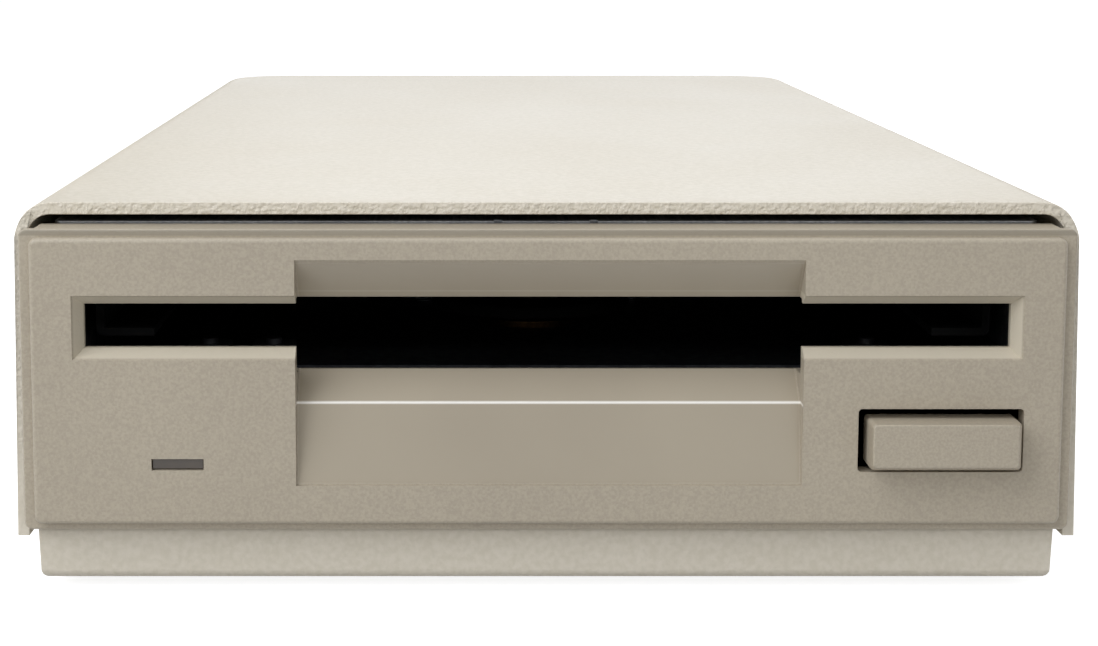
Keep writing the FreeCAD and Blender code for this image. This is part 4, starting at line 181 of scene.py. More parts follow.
def grained(
    name, tones, roughness, grain_mm, height_mm, drift_mm=25.0, index=1.5, spots=0.35,
    polished=None, painted_light_boxes=(), beaded=None,
):
    """Paint, moulding or rubber: a fine grain in relief and tone, and a slow drift of the tone.

    The grain is polished away inside one box, the tone is replaced inside others by painted light
    or shade, and inside the last one the paint stands in beads about half a millimetre across."""
    material = bare(name)
    tree = material.node_tree
    place = add(tree, "ShaderNodeTexCoord").outputs["Object"]
    grain = add(
        tree, "ShaderNodeTexNoise", Vector=place, Scale=1000 / grain_mm, Detail=2.0,
        Roughness=0.55,
    )
    drift = add(tree, "ShaderNodeTexNoise", Vector=place, Scale=1000 / drift_mm, Detail=2.0)
    fleck = add(
        tree, "ShaderNodeMapRange", i0=grain.outputs["Fac"], i1=0.35, i2=0.65, i3=0.0, i4=spots,
    )
    slow = add(
        tree, "ShaderNodeMapRange", i0=drift.outputs["Fac"], i1=0.3, i2=0.7, i3=0.0,
        i4=1 - spots,
    )
    share = add(tree, "ShaderNodeMath", {"operation": "ADD"}, i0=fleck, i1=slow)
    tone = add(
        tree, "ShaderNodeMix", {"data_type": "RGBA"}, i0=share, i6=linear(tones[0]),
        i7=linear(tones[1]),
    )
    relief = add(
        tree, "ShaderNodeBump", Height=grain.outputs["Fac"], Strength=1.0,
        Distance=height_mm * mm,
    )
    wear = add(
        tree, "ShaderNodeMapRange", i0=drift.outputs["Fac"], i1=0.3, i2=0.7, i3=roughness - 0.04,
        i4=roughness + 0.04,
    )
    gloss = wear.outputs[0]
    if polished:
        polish_fade_mm, polished_roughness = 0.3, 0.2
        smooth = inside(tree, place, *polished, polish_fade_mm)
        rough = add(tree, "ShaderNodeMath", {"operation": "SUBTRACT"}, i0=1.0, i1=smooth)
        tree.links.new(rough.outputs[0], relief.inputs["Strength"])
        faint = add(tree, "ShaderNodeMix", i0=smooth, i2=fleck, i3=spots / 2)
        tree.links.new(faint.outputs[0], share.inputs[0])
        gloss = add(tree, "ShaderNodeMix", i0=smooth, i2=gloss, i3=polished_roughness).outputs[0]
    colour = tone.outputs["Result"]
    # Each of these boxes paints light or shade into the colour: a painted highlight or a painted
    # shadow.
    for low, high, fade_mm, painted_tone in painted_light_boxes:
        painted_share = inside(tree, place, low, high, fade_mm)
        mixed = add(
            tree, "ShaderNodeMix", {"data_type": "RGBA"}, i0=painted_share, i6=colour,
            i7=linear(painted_tone),
        )
        colour = mixed.outputs["Result"]
    if beaded:
        bead_mm, bead_height_mm, bead_fade_mm = 0.5, 0.22, 1.0
        beads = add(tree, "ShaderNodeTexNoise", Vector=place, Scale=1000 / bead_mm, Detail=1.0)
        near_edge = inside(tree, place, *beaded, bead_fade_mm)
        relief = add(
            tree, "ShaderNodeBump", Height=beads.outputs["Fac"], Strength=near_edge,
            Distance=bead_height_mm * mm, Normal=relief,
        )
    shader = add(
        tree, "ShaderNodeBsdfPrincipled", Base_Color=colour, Roughness=gloss,
        IOR=index, Normal=relief,
    )
    add(tree, "ShaderNodeOutputMaterial", Surface=shader)
    return material


def merged_copy(node):
    """The mesh of a node with its loose triangles joined and its flat faces made whole."""
    form = bmesh.new()
    form.from_mesh(nodes[node].data)
    bmesh.ops.remove_doubles(form, verts=form.verts, dist=0.002 * mm)
    bmesh.ops.dissolve_limit(
        form, angle_limit=math.radians(0.6), verts=form.verts, edges=form.edges,
    )
    return form


def settle(piece, body, slot, material, *replaced, place=None):
    """Turn a piece into a plain mesh, dress it and fix it to its body.

    A piece made round its own origin is first put in its place, with round faces shaded smooth."""
    evaluated = piece.evaluated_get(bpy.context.evaluated_depsgraph_get())
    plain = bpy.data.meshes.new_from_object(evaluated)
    if place:
        plain.transform(place)
        plain.shade_smooth()
    piece.modifiers.clear()
    piece.data = plain
    plain.name = piece.name
    plain.materials.clear()
    plain.materials.append(material)
    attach(piece, body)
    if replaced:
        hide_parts(*replaced)


def softened(node, body, slot, material, edge_mm, segments=2, reshape=None, carve=None):
    """The node's own form with every sharp edge rounded as a real moulded or painted edge is.

    Its corners may first be moved by a function of their place, and a form be carved out of it."""
    form = merged_copy(node)
    if reshape:
        for vert in form.verts:
            vert.co = Vector(reshape(*(vert.co / mm))) * mm
    mesh = bpy.data.meshes.new(node + "_finished")
    form.to_mesh(mesh)
    form.free()
    for face in mesh.polygons:
        face.use_smooth = True
    piece = bpy.data.objects.new(node + "_finished", mesh)
    scene.collection.objects.link(piece)
    if carve:
        carving = piece.modifiers.new("carving", "BOOLEAN")
        carving.object = carve
        carving.solver = "EXACT"
    rounding = piece.modifiers.new("rounding", "BEVEL")
    rounding.width = edge_mm * mm
    rounding.segments = segments
    rounding.limit_method = "ANGLE"
    rounding.angle_limit = math.radians(28)
    rounding.miter_outer = "MITER_ARC"
    flat_faces = piece.modifiers.new("flat_faces", "WEIGHTED_NORMAL")
    flat_faces.weight = 100
    flat_faces.keep_sharp = True
    settle(piece, body, slot, material, node)


# Textured enamel: satin, with a close grain about 0.7 mm across that breaks up the light. At the
# cover's front edge it stands in beads. That edge lies 2.5 mm behind the CAD's, as in the view.
enamel_tones = ("CEC5B2", "D8CFBE")
enamel = grained("textured_cream_enamel", enamel_tones, 0.5, 0.7, 0.09, spots=0.8)
cover_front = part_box("top_cover")[0][1] / mm
bead_reach = 5
beaded_enamel = grained(
    "beaded_cream_enamel", enamel_tones, 0.5, 0.7, 0.09, spots=0.8,
    beaded=((-60, cover_front, 0), (60, cover_front + bead_reach, 45)),
)
edge_setback, edge_reach = 2.5, 8.0
side_top, side_fade = 33.0, 4.0


def set_back(x, y, z):
    """Draw the top's front edge back, and the sheet behind it in proportion, fading out at the
    top of the sides."""
    behind = y - cover_front
    if behind < edge_reach:
        share = min(max((z - side_top) / side_fade, 0), 1)
        y += edge_setback * share * (1 - behind / edge_reach)
    return x, y, z


softened("top_cover", "root", "cover_paint", beaded_enamel, 0.35, 3, set_back)


# Base tray: the case's lower half, pressed from the same steel and painted with it, with a plain
# front lip under the bezel and side walls inside the cover. The walls stand 0.6 mm wider at each
# side than the CAD's, and the lip is 0.9 mm deeper.
tray_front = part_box("base_tray")[0][1] / mm
wall_from, wall_foot, wall_wider, foot_wider = 49, 3.5, 0.6, 0.35
lip_depth, lip_lower, lip_below = 2, 0.9, 3.2


def fill_lip(x, y, z):
    """Widen the tray's walls towards the cover, and draw the front lip down."""
    if abs(x) > wall_from:
        x += math.copysign(wall_wider if z > wall_foot else foot_wider, x)
    if y < tray_front + lip_depth and z < lip_below:
        z -= lip_lower
    return x, y, z


softened("base_tray", "root", "cover_paint", enamel, 0.25, 2, fill_lip)


# Front bezel: one ABS moulding with a spark-eroded grain. Its flange closes the case, and its
# raised face carries the slot and the finger scoop. Edges about a tenth of a millimetre round
# draw their fine light lines.
def closed(form, one_end, other_end):
    """Close the form between two rings of four corners, and over both."""
    form.faces.new(one_end[::-1])
    form.faces.new(other_end)
    for i in range(4):
        j = (i + 1) % 4
        form.faces.new((one_end[i], one_end[j], other_end[j], other_end[i]))


# The scoop's insert in the mould is polished. The slot's bevels are painted a little paler as
# painted light, the scoop's crease carries a painted highlight line, and the flange under the
# cover is painted darker as painted shade.
scoop_low, scoop_high = (-24.8, -101.9, 11.3), (25.2, -96.0, 33.9)
# Painted light: the slot's bevels are painted paler, standing in for the light they catch.
painted_light_slot_bevels = (-46.8, -101.95, 23.8), (46.8, -99.0, 30.5), 0.2, "C2B8A4"
# Painted highlight: a near-white line along the scoop's crease.
painted_highlight_crease = (-24.9, -101.9, 19.14), (25.3, -100.0, 19.5), 0.14, "F8F3EA"
# Painted shade: the flange's front band under the cover is painted darker.
painted_shade_flange = (-52, -101.2, 36.15), (52, -100.95, 37.2), 0.05, "948B7A"
taupe_tones = ("A19684", "B1A692")
taupe_abs = grained("moulded_taupe_abs", taupe_tones, 0.42, 0.26, 0.035, 18.0, spots=0.7)
scooped_abs = grained(
    "moulded_scooped_abs", taupe_tones, 0.42, 0.26, 0.035, 18.0, spots=0.7,
    polished=(scoop_low, scoop_high), painted_light_boxes=(painted_light_slot_bevels, painted_highlight_crease, painted_shade_flange),
)
# The scoop's lower face ends at a step 0.35 mm deep that the CAD leaves out.
face_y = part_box("front_bezel")[0][1] / mm
step_depth, lower_lean, step_top, step_front = 0.35, 0.182, 19.54, face_y - 2
step_bottom = scoop_low[2]
step_rise = step_top - step_bottom
step_line = (
    (step_front, step_bottom), (face_y + step_depth, step_bottom),
    (face_y + step_depth + lower_lean * step_rise, step_top), (step_front, step_top),
)
form = bmesh.new()
closed(form, *(
    [form.verts.new(Vector((x, y, z)) * mm) for y, z in step_line]
    for x in (scoop_low[0], scoop_high[0])
))
bmesh.ops.recalc_face_normals(form, faces=form.faces)
step_mesh = bpy.data.meshes.new("scoop_step")
form.to_mesh(step_mesh)
form.free()
scoop_step = bpy.data.objects.new("scoop_step", step_mesh)
softened("front_bezel", "root", "bezel_plastic", scooped_abs, 0.16, carve=scoop_step)
bpy.data.objects.remove(scoop_step)


# Eject button: a hollow moulding of the same plastic, pushed on to the slide's tab. It sits low
# and to the right in its opening: behind its face, its top is drawn in 0.45 mm from the CAD's
# and its left side 0.4 mm.
button_low, button_high = (corner / mm for corner in map(Vector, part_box("eject_button")))
face_depth, top_lower, side_inward, side_reach = 0.6, 0.45, 0.4, 1.5


def draw_in(x, y, z):
    """Draw the button's top and left sides in behind its face."""
    if y > button_low.y + face_depth:
        z -= top_lower if z > (button_low.z + button_high.z) / 2 else 0.0
        x += side_inward if x < button_low.x + side_reach else 0.0
    return x, y, z


softened("eject_button", "eject_slide", "button_plastic", taupe_abs, 0.2, 3, draw_in)


# Activity light: a smoked polycarbonate window let into the bezel, dark while the light is off,
# with a small green lamp behind it.
smoked = grained("smoked_polycarbonate", ("3A3025", "463B2E"), 0.2, 1.5, 0.002, 6.0, 1.585)
softened("light_lens", "root", "lens_plastic", smoked, 0.08)
lamp_resin = grained("green_lamp_resin", ("2F5A3A", "3A6A45"), 0.15, 2.0, 0.001, 4.0, 1.55)


def dress(material, *names):
    """Give CAD nodes whose form is already right their finish."""
    for name in names:
        nodes[name].data.materials.clear()
        nodes[name].data.materials.append(material)


dress(lamp_resin, "light_lamp")


# Feet and the lead's grommet: black moulded rubber, pressed into the tray and the rear panel.
# It is dull, with a fine matt bloom.
rubber = grained("black_moulded_rubber", ("1A1A19", "232221"), 0.72, 0.5, 0.012, 9.0, 1.52)
dress(rubber, "rubber_feet", "cable_grommet")


# Rear panel: flat sheet with a foot on the tray, painted with the case. It holds the grommet and
# the connector.
softened("rear_panel", "root", "cover_paint", enamel, 0.2)


# Drive chassis and side frames: aluminium die castings with the dull skin that the die leaves,
# slightly mottled where the metal met the die. The chassis is painted near black as painted
# shade, so that it stays dark behind the slot.
def worked(name, tones, roughness, streak_mm, height_mm, drift_mm=14.0):
    """Bare metal: streaks of the given length along x, y and z in tone, gloss and relief."""
    material = bare(name)
    tree = material.node_tree
    place = add(tree, "ShaderNodeTexCoord").outputs["Object"]
    stretch = add(
        tree, "ShaderNodeMapping", Vector=place, Scale=[1000 / length for length in streak_mm],
    )
    streaks = add(tree, "ShaderNodeTexNoise", Vector=stretch, Scale=1.0, Detail=3.0)
    drift = add(tree, "ShaderNodeTexNoise", Vector=place, Scale=1000 / drift_mm, Detail=3.0)
    share = add(
        tree, "ShaderNodeMath", {"operation": "MULTIPLY"}, i0=streaks.outputs["Fac"],
        i1=drift.outputs["Fac"],
    )
    spread = add(tree, "ShaderNodeMapRange", i0=share, i1=0.12, i2=0.4, i3=0.0, i4=1.0)
    tone = add(
        tree, "ShaderNodeMix", {"data_type": "RGBA"}, i0=spread, i6=linear(tones[0]),
        i7=linear(tones[1]),
    )
    dull = add(
        tree, "ShaderNodeMapRange", i0=streaks.outputs["Fac"], i1=0.3, i2=0.7,
        i3=roughness + 0.06, i4=roughness - 0.06,
    )
    relief = add(
        tree, "ShaderNodeBump", Height=streaks.outputs["Fac"], Strength=1.0,
        Distance=height_mm * mm,
    )
    shader = add(
        tree, "ShaderNodeBsdfPrincipled", Base_Color=tone.outputs["Result"], Metallic=1.0,
        Roughness=dull, Normal=relief,
    )
    add(tree, "ShaderNodeOutputMaterial", Surface=shader)
    return material


casting = worked("die_cast_aluminium", ("7C7D7E", "9C9D9D"), 0.5, (1.2, 1.2, 1.2), 0.03)
shade_dark_casting = worked("blackened_die_casting", ("37383A", "4C4D4F"), 0.6, (1.2, 1.2, 1.2), 0.03)
softened("drive_chassis", "root", "cast_metal", shade_dark_casting, 0.25)
softened("side_frames", "root", "cast_metal", casting, 0.25)


# Sheet steel parts: tie bar, shield lid, shutter lever, rotor cup, the stepper's bracket and can,
# and the connector's shell. They are rolled steel with bright zinc plating: its rolling lines run
# along the drive, and the zinc leaves a faint cloudy bloom.
zinc = worked("zinc_plated_sheet_steel", ("8E9093", "B4B6B8"), 0.34, (0.35, 9.0, 0.35), 0.004)
dress(
    zinc, "top_tie", "shield_lid", "shutter_lever", "rotor_cup", "stepper_bracket",
    "stepper_motor",
)
softened("connector_shell", "root", "plated_steel", zinc, 0.12)


# Slide plate, disk holder and spindle hub: steel painted near black as painted shade, so that
# the slot reads dark and nothing glints in it. It is matt, with a slight brown drift of tone.
shade_black_steel = grained("black_oxide_steel", ("0B0B0C", "151514"), 0.75, 0.4, 0.01, 9.0, 1.3)
dress(shade_black_steel, "slide_plate", "disk_holder", "spindle_hub")


# Slide springs: close-wound music wire, drawn and blued, one each side.
blued_wire = worked("drawn_spring_wire", ("5C6066", "7E8288"), 0.3, (0.3, 0.3, 0.3), 0.004)
dress(blued_wire, "slide_springs")


# Pins, spindle shaft and guide rods: ground and polished bearing steel, with the fine rings that
# centreless grinding leaves round them.
ground = worked("ground_bearing_steel", ("A9ABAD", "C9CACB"), 0.2, (4.0, 0.25, 4.0), 0.002)
dress(ground, "holder_pins", "lever_stud", "drive_pin", "spindle_shaft", "arm_pin", "guide_rods")


# Spindle bearing, the screw's front bearing and the board standoffs: sintered bronze and turned
# brass, warm and slightly speckled.
bronze = worked("sintered_bronze", ("4E3A22", "6E5432"), 0.38, (0.4, 0.4, 0.4), 0.006)
dress(bronze, "spindle_bearing", "screw_bearing", "board_standoffs")


# Ring magnet: sintered ferrite, a dull charcoal ceramic bonded inside the rotor cup.
ferrite = grained("sintered_ferrite", ("2B2A2B", "373536"), 0.6, 0.4, 0.01, 6.0, 1.9)
dress(ferrite, "ring_magnet")


# Stator core: stamped steel sheets 0.35 mm thick in a stack, which shows as fine level lines
# round its teeth. The lines are drawn four times as coarse, so that they show.
def banded(name, tones, along, band_mm, height_mm, **finish):
    """Even bands across one axis, in tone and relief, on metal or plastic of the given finish."""
    material = bare(name)
    tree = material.node_tree
    place = add(tree, "ShaderNodeTexCoord").outputs["Object"]
    # The texture's own bands are a tenth of pi long.
    bands = add(
        tree, "ShaderNodeTexWave", {"wave_type": "BANDS", "bands_direction": along},
        Vector=place, Scale=1000 * math.pi / (10 * band_mm), Distortion=0.0,
    )
    tone = add(
        tree, "ShaderNodeMix", {"data_type": "RGBA"}, i0=bands.outputs["Fac"],
        i6=linear(tones[0]), i7=linear(tones[1]),
    )
    relief = add(
        tree, "ShaderNodeBump", Height=bands.outputs["Fac"], Strength=1.0,
        Distance=height_mm * mm,
    )
    shader = add(
        tree, "ShaderNodeBsdfPrincipled", Base_Color=tone.outputs["Result"], Roughness=0.45,
        Normal=relief, **finish,
    )
    add(tree, "ShaderNodeOutputMaterial", Surface=shader)
    return material


sheet_thickness, coarser = 0.35, 4
line_pitch = sheet_thickness * coarser
laminated = banded(
    "laminated_stator_steel", ("5E5F62", "96989B"), "Z", line_pitch, 0.04, Metallic=1.0,
)
dress(laminated, "stator_core")


# Moulded inner parts: head carriage and arm, sensor, switches, plugs and headers, all in
# glass-filled polyester, near black with a faint pale fibre fleck.
filled_polyester = grained(
    "glass_filled_polyester", ("1E1E20", "2C2C2E"), 0.45, 0.6, 0.01, 8.0, 1.57,
)
dress(
    filled_polyester, "head_carriage", "head_arm", "zero_sensor", "disk_switches", "data_header",
    "data_plug", "interface_headers", "connector_core",
)
nylon = grained("natural_nylon", ("D9D5C6", "E4E0D3"), 0.4, 0.8, 0.006, 9.0, 1.53)
dress(nylon, "power_header", "power_plug")


# Read and write heads: ground ceramic blocks on the carriage and the arm, pale and very smooth.
ceramic = grained("ground_titanate_ceramic", ("B9A98C", "C8B99D"), 0.18, 0.8, 0.001, 4.0, 2.0)
dress(ceramic, "lower_head", "upper_head")


# Circuit boards: glass-epoxy under green solder mask. Copper tracks about 0.6 mm wide run
# crosswise under the mask and lift it slightly, which shows as paler lines.
masked_board = bare("solder_masked_board")
tree = masked_board.node_tree
place = add(tree, "ShaderNodeTexCoord").outputs["Object"]
tracks = add(
    tree, "ShaderNodeTexBrick",
    {"offset": 0.37, "offset_frequency": 3, "squash": 0.6, "squash_frequency": 5},
    Vector=place, Scale=1000.0, Mortar_Size=0.3, Mortar_Smooth=0.2, Brick_Width=17.0,
    Row_Height=2.54,
)
weave = add(tree, "ShaderNodeTexNoise", Vector=place, Scale=1000 / 0.6, Detail=2.0)
tone = add(
    tree, "ShaderNodeMix", {"data_type": "RGBA"}, i0=tracks.outputs["Fac"], i6=linear("1F4A33"),
    i7=linear("3C7550"),
)
relief = add(
    tree, "ShaderNodeBump", Height=tracks.outputs["Fac"], Strength=1.0, Distance=0.035 * mm,
)
weave_relief = add(
    tree, "ShaderNodeBump", Height=weave.outputs["Fac"], Strength=1.0, Distance=0.005 * mm,
    Normal=relief,
)
shader = add(
    tree, "ShaderNodeBsdfPrincipled", Base_Color=tone.outputs["Result"], Roughness=0.3, IOR=1.55,
    Normal=weave_relief,
)
add(tree, "ShaderNodeOutputMaterial", Surface=shader)
dress(masked_board, "motor_board", "logic_board", "interface_board")


# Chips: black epoxy packages with tinned legs along their long sides. One bent leg is made, and
# rows of them are laid out beside every package.
epoxy = grained("moulded_chip_epoxy", ("1B1B1C", "262627"), 0.55, 0.35, 0.008, 6.0, 1.55)
dress(epoxy, "logic_chips", "interface_chips")
tinned = worked("tinned_copper_alloy", ("A7A7A3", "C6C5C0"), 0.28, (0.5, 0.5, 0.5), 0.003)
leg_pitch, leg_width, leg_sheet = 1.27, 0.45, 0.2
leg_line = ((-0.4, 1.3), (0.45, 1.3), (0.75, 0.1), (1.35, 0.1))
square = ((-1, -1), (1, -1), (1, 1), (-1, 1))
form = bmesh.new()
for (x0, z0), (x1, z1) in zip(leg_line, leg_line[1:]):
    along = Vector((x1 - x0, 0, z1 - z0)).normalized()
    up = Vector((-along.z, 0, along.x)) * leg_sheet / 2
    side = Vector((0, leg_width / 2, 0))
    overlap = along * leg_sheet / 4
    ends = Vector((x0, 0, z0)) - overlap, Vector((x1, 0, z1)) + overlap
    closed(form, *(
        [form.verts.new((end + y * side + z * up) * mm) for y, z in square] for end in ends
    ))
bmesh.ops.recalc_face_normals(form, faces=form.faces)
leg_mesh = bpy.data.meshes.new("chip_leg")
form.to_mesh(leg_mesh)
form.free()
chip_leg = bpy.data.objects.new("chip_leg", leg_mesh)


def inputs(tree, **kinds):
    """Named inputs of a geometry tree, each of the given kind, with the identifier of each."""
    tree.interface.new_socket("Geometry", in_out="INPUT", socket_type="NodeSocketGeometry")
    tree.interface.new_socket("Geometry", in_out="OUTPUT", socket_type="NodeSocketGeometry")
    keys = {}
    for name, kind in kinds.items():
        socket = tree.interface.new_socket(
            name.replace("_", " "), in_out="INPUT", socket_type="NodeSocket" + kind,
        )
        keys[name] = socket.identifier
    return keys


def grow(name, tree, keys, start, **sizes):
    """A piece grown by a geometry tree from a start mesh, with the tree's inputs set."""
    piece = bpy.data.objects.new(name, start)
    scene.collection.objects.link(piece)
    modifier = piece.modifiers.new("growth", "NODES")
    modifier.node_group = tree
    for key, value in sizes.items():
        modifier[keys[key]] = value
    return piece


def close(tree, geometry, material):
    """Realize what the tree made, and give it its material."""
    real = add(tree, "GeometryNodeRealizeInstances", Geometry=geometry)
    dressed = add(tree, "GeometryNodeSetMaterial", Geometry=real, Material=material)
    add(tree, "NodeGroupOutput", Geometry=dressed)


def solids(node):
    """Lowest and highest corner of each separate solid in a node, in millimetres."""
    form = merged_copy(node)
    waiting = set(form.verts)
    boxes = []
    while waiting:
        front = [waiting.pop()]
        found = []
        while front:
            vert = front.pop()
            found.append(vert.co / mm)
            for edge in vert.link_edges:
                other = edge.other_vert(vert)
                if other in waiting:
                    waiting.discard(other)
                    front.append(other)
        low = Vector([min(point[i] for point in found) for i in range(3)])
        high = Vector([max(point[i] for point in found) for i in range(3)])
        boxes.append((low, high))
    form.free()
    return sorted(boxes, key=lambda box: tuple(box[0]))


leg_tree = bpy.data.node_groups.new("legs_along_chips", "GeometryNodeTree")
leg_keys = inputs(
    leg_tree, Leg="Object", Count="Int", Pitch="Float", Half_Width="Float", Turn="Float",
    Metal="Material",
)
given = add(leg_tree, "NodeGroupInput").outputs
leg = add(leg_tree, "GeometryNodeObjectInfo", Object=given["Leg"])
step = add(leg_tree, "ShaderNodeCombineXYZ", Y=given["Pitch"])
gaps = add(leg_tree, "ShaderNodeMath", {"operation": "SUBTRACT"}, i0=given["Count"], i1=1.0)
back = add(leg_tree, "ShaderNodeMath", {"operation": "MULTIPLY"}, i0=gaps, i1=given["Pitch"])
half_back = add(leg_tree, "ShaderNodeMath", {"operation": "MULTIPLY"}, i0=back, i1=-0.5)
first = add(leg_tree, "ShaderNodeCombineXYZ", X=given["Half Width"], Y=half_back)
leg_places = add(
    leg_tree, "GeometryNodeMeshLine", Count=given["Count"], Start_Location=first, Offset=step,
)
row = add(
    leg_tree, "GeometryNodeInstanceOnPoints", Points=leg_places,
    Instance=leg.outputs["Geometry"],
)
other_row = add(leg_tree, "GeometryNodeTransform", Geometry=row, Rotation=(0, 0, math.pi))
rows = add(leg_tree, "GeometryNodeJoinGeometry")
leg_tree.links.new(row.outputs[0], rows.inputs[0])
leg_tree.links.new(other_row.outputs[0], rows.inputs[0])
turn = add(leg_tree, "ShaderNodeCombineXYZ", Z=given["Turn"])
round_chips = add(
    leg_tree, "GeometryNodeInstanceOnPoints", Points=given["Geometry"], Instance=rows,
    Rotation=turn,
)
close(leg_tree, round_chips, given["Metal"])
for node, count, along in (("logic_chips", 14, 1), ("interface_chips", 13, 0)):
    boxes = solids(node)
    seats = bpy.data.meshes.new(node + "_seats")
    middles = [(low + high) / 2 for low, high in boxes]
    places = [Vector((middle.x, middle.y, box[0].z)) * mm for middle, box in zip(middles, boxes)]
    seats.from_pydata(places, [], [])
    half_width = (boxes[0][1] - boxes[0][0])[1 - along] / 2
    legs = grow(
        node + "_legs", leg_tree, leg_keys, seats, Leg=chip_leg, Count=count, Pitch=leg_pitch * mm,
        Half_Width=half_width * mm, Turn=0.0 if along else math.pi / 2, Metal=tinned,
    )
    settle(legs, "root", "screw_steel", tinned)
bpy.data.objects.remove(chip_leg)


# Screws of the cover, the chassis and the boards: steel pan heads with a cross recess, bright
# zinc plated. One screw is turned and cut, then set at every seat with its head outwards.
plated_screw = worked(
    "bright_zinc_plated_screw", ("9FA1A3", "C4C5C4"), 0.27, (0.6, 0.6, 0.6), 0.004,
)


def pan_head_screw(name, head, rise, shank, length, reach, gap, depth):
    """A screw with its seat at the origin and its head towards +Z, sizes in millimetres.

    Reach, gap and depth are those of the cross recess."""
    form = bmesh.new()
    rim = rise * 0.45
    dome = rise - rim
    line = [(0, -length), (shank * 0.7, -length), (shank, shank * 0.4 - length)]
    line += [(shank, 0), (head, 0), (head, rim)]
    line += [(head - dome * (1 - math.cos(a)), rim + dome * math.sin(a)) for a in (0.5, 1.0, 1.57)]
    line += [(0, rise)]
    profile = [form.verts.new((r * mm, 0, z * mm)) for r, z in line]
    edges = [form.edges.new(pair) for pair in zip(profile, profile[1:])]
    bmesh.ops.spin(
        form, geom=profile + edges, cent=(0, 0, 0), axis=(0, 0, 1), angle=math.tau, steps=32,
    )
    bmesh.ops.remove_doubles(form, verts=form.verts, dist=0.001 * mm)
    bmesh.ops.recalc_face_normals(form, faces=form.faces)
    mesh = bpy.data.meshes.new(name)
    form.to_mesh(mesh)
    form.free()
    cross = bmesh.new()
    for wide, deep in ((reach, gap), (gap, reach)):
        half = Vector((wide / 2, deep / 2))
        closed(cross, *(
            [cross.verts.new((x * half.x * mm, y * half.y * mm, z * mm)) for x, y in square]
            for z in (rise - depth, rise + 1)
        ))
    cross_mesh = bpy.data.meshes.new(name + "_recess")
    cross.to_mesh(cross_mesh)
    cross.free()
    screw = bpy.data.objects.new(name, mesh)
    recess = bpy.data.objects.new(name + "_recess", cross_mesh)
    for made in (screw, recess):
        scene.collection.objects.link(made)
    cut = screw.modifiers.new("recess", "BOOLEAN")
    cut.object = recess
    cut.solver = "EXACT"
    cut.use_self = True
    evaluated = screw.evaluated_get(bpy.context.evaluated_depsgraph_get())
    plain = bpy.data.meshes.new_from_object(evaluated)
    screw.modifiers.clear()
    screw.data = plain
    bpy.data.objects.remove(recess)
    scene.collection.objects.unlink(screw)
    return screw


screw_tree = bpy.data.node_groups.new("screws_in_seats", "GeometryNodeTree")
screw_keys = inputs(screw_tree, Screw="Object", Metal="Material")
given = add(screw_tree, "NodeGroupInput").outputs
screw_form = add(screw_tree, "GeometryNodeObjectInfo", Object=given["Screw"])
outward = add(
    screw_tree, "GeometryNodeInputNamedAttribute", {"data_type": "FLOAT_VECTOR"}, Name="outward",
)
aim = add(screw_tree, "FunctionNodeAlignRotationToVector", {"axis": "Z"}, Vector=outward)
set_in = add(
    screw_tree, "GeometryNodeInstanceOnPoints", Points=given["Geometry"],
    Instance=screw_form.outputs["Geometry"], Rotation=aim,
)
close(screw_tree, set_in, given["Metal"])


def set_screws(node, screw, rise, axis):
    """Put a screw in place of each solid of the node, with its head on the outer side.

    Of the upright ones, those of the logic board reach lowest and have their heads below."""
    seats, ways = [], []
    logic_board_reach = 5.0
    for low, high in solids(node):
        middle = (low + high) / 2
        if axis == 2:
            way = 1 if low.z > logic_board_reach else -1
        else:
            way = 1 if middle[axis] > 0 else -1
        middle[axis] = (high[axis] if way > 0 else low[axis]) - way * rise
        seats.append(middle * mm)
        ways += [float(way) if i == axis else 0.0 for i in range(3)]
    points = bpy.data.meshes.new(node + "_seats")
    points.from_pydata(seats, [], [])
    points.attributes.new("outward", "FLOAT_VECTOR", "POINT").data.foreach_set("vector", ways)
    piece = grow(node + "_cut", screw_tree, screw_keys, points, Screw=screw, Metal=plated_screw)
    settle(piece, "root", "screw_steel", plated_screw, node)
    bpy.data.objects.remove(screw)


case_rise = 1.0
for node in ("cover_screws", "chassis_screws"):
    low, high = solids(node)[0]
    shank_length = high.x - low.x - case_rise
    case_screw = pan_head_screw(node + "_form", 2.7, case_rise, 1.45, shank_length, 3.2, 0.75, 0.6)
    set_screws(node, case_screw, case_rise, 0)
board_rise = 0.84
low, high = solids("board_screws")[0]
shank_length = high.z - low.z - board_rise
board_screw = pan_head_screw(
    "board_screw_form", 2.4, board_rise, 1.2, shank_length, 2.8, 0.7, 0.45,
)
set_screws("board_screws", board_screw, board_rise, 2)
dress(plated_screw, "jack_screws")


# Lead screw: polished steel with a coarse rolled groove, one turn in 3.75 mm, that the
# carriage's needle rides in. Its collar runs against the front bearing.
groove_tree = bpy.data.node_groups.new("grooved_screw", "GeometryNodeTree")
groove_keys = inputs(
    groove_tree, Radius="Float", Length="Float", Pitch="Float", Groove_Depth="Float",
    Groove_Half_Width="Float", Thread_Start="Float", Thread_End="Float", Collar_Radius="Float",
    Collar_Start="Float", Collar_Length="Float", Metal="Material",
)
given = add(groove_tree, "NodeGroupInput").outputs
rod = add(
    groove_tree, "GeometryNodeMeshCylinder", Vertices=40, Side_Segments=420,
    Radius=given["Radius"], Depth=given["Length"],
)
half_length = add(
    groove_tree, "ShaderNodeMath", {"operation": "MULTIPLY"}, i0=given["Length"], i1=0.5,
)
lift = add(groove_tree, "ShaderNodeCombineXYZ", Z=half_length)
stood = add(groove_tree, "GeometryNodeTransform", Geometry=rod.outputs["Mesh"], Translation=lift)
point = add(groove_tree, "GeometryNodeInputPosition")
parts = add(groove_tree, "ShaderNodeSeparateXYZ", Vector=point)
angle = add(
    groove_tree, "ShaderNodeMath", {"operation": "ARCTAN2"}, i0=parts.outputs["Y"],
    i1=parts.outputs["X"],
)
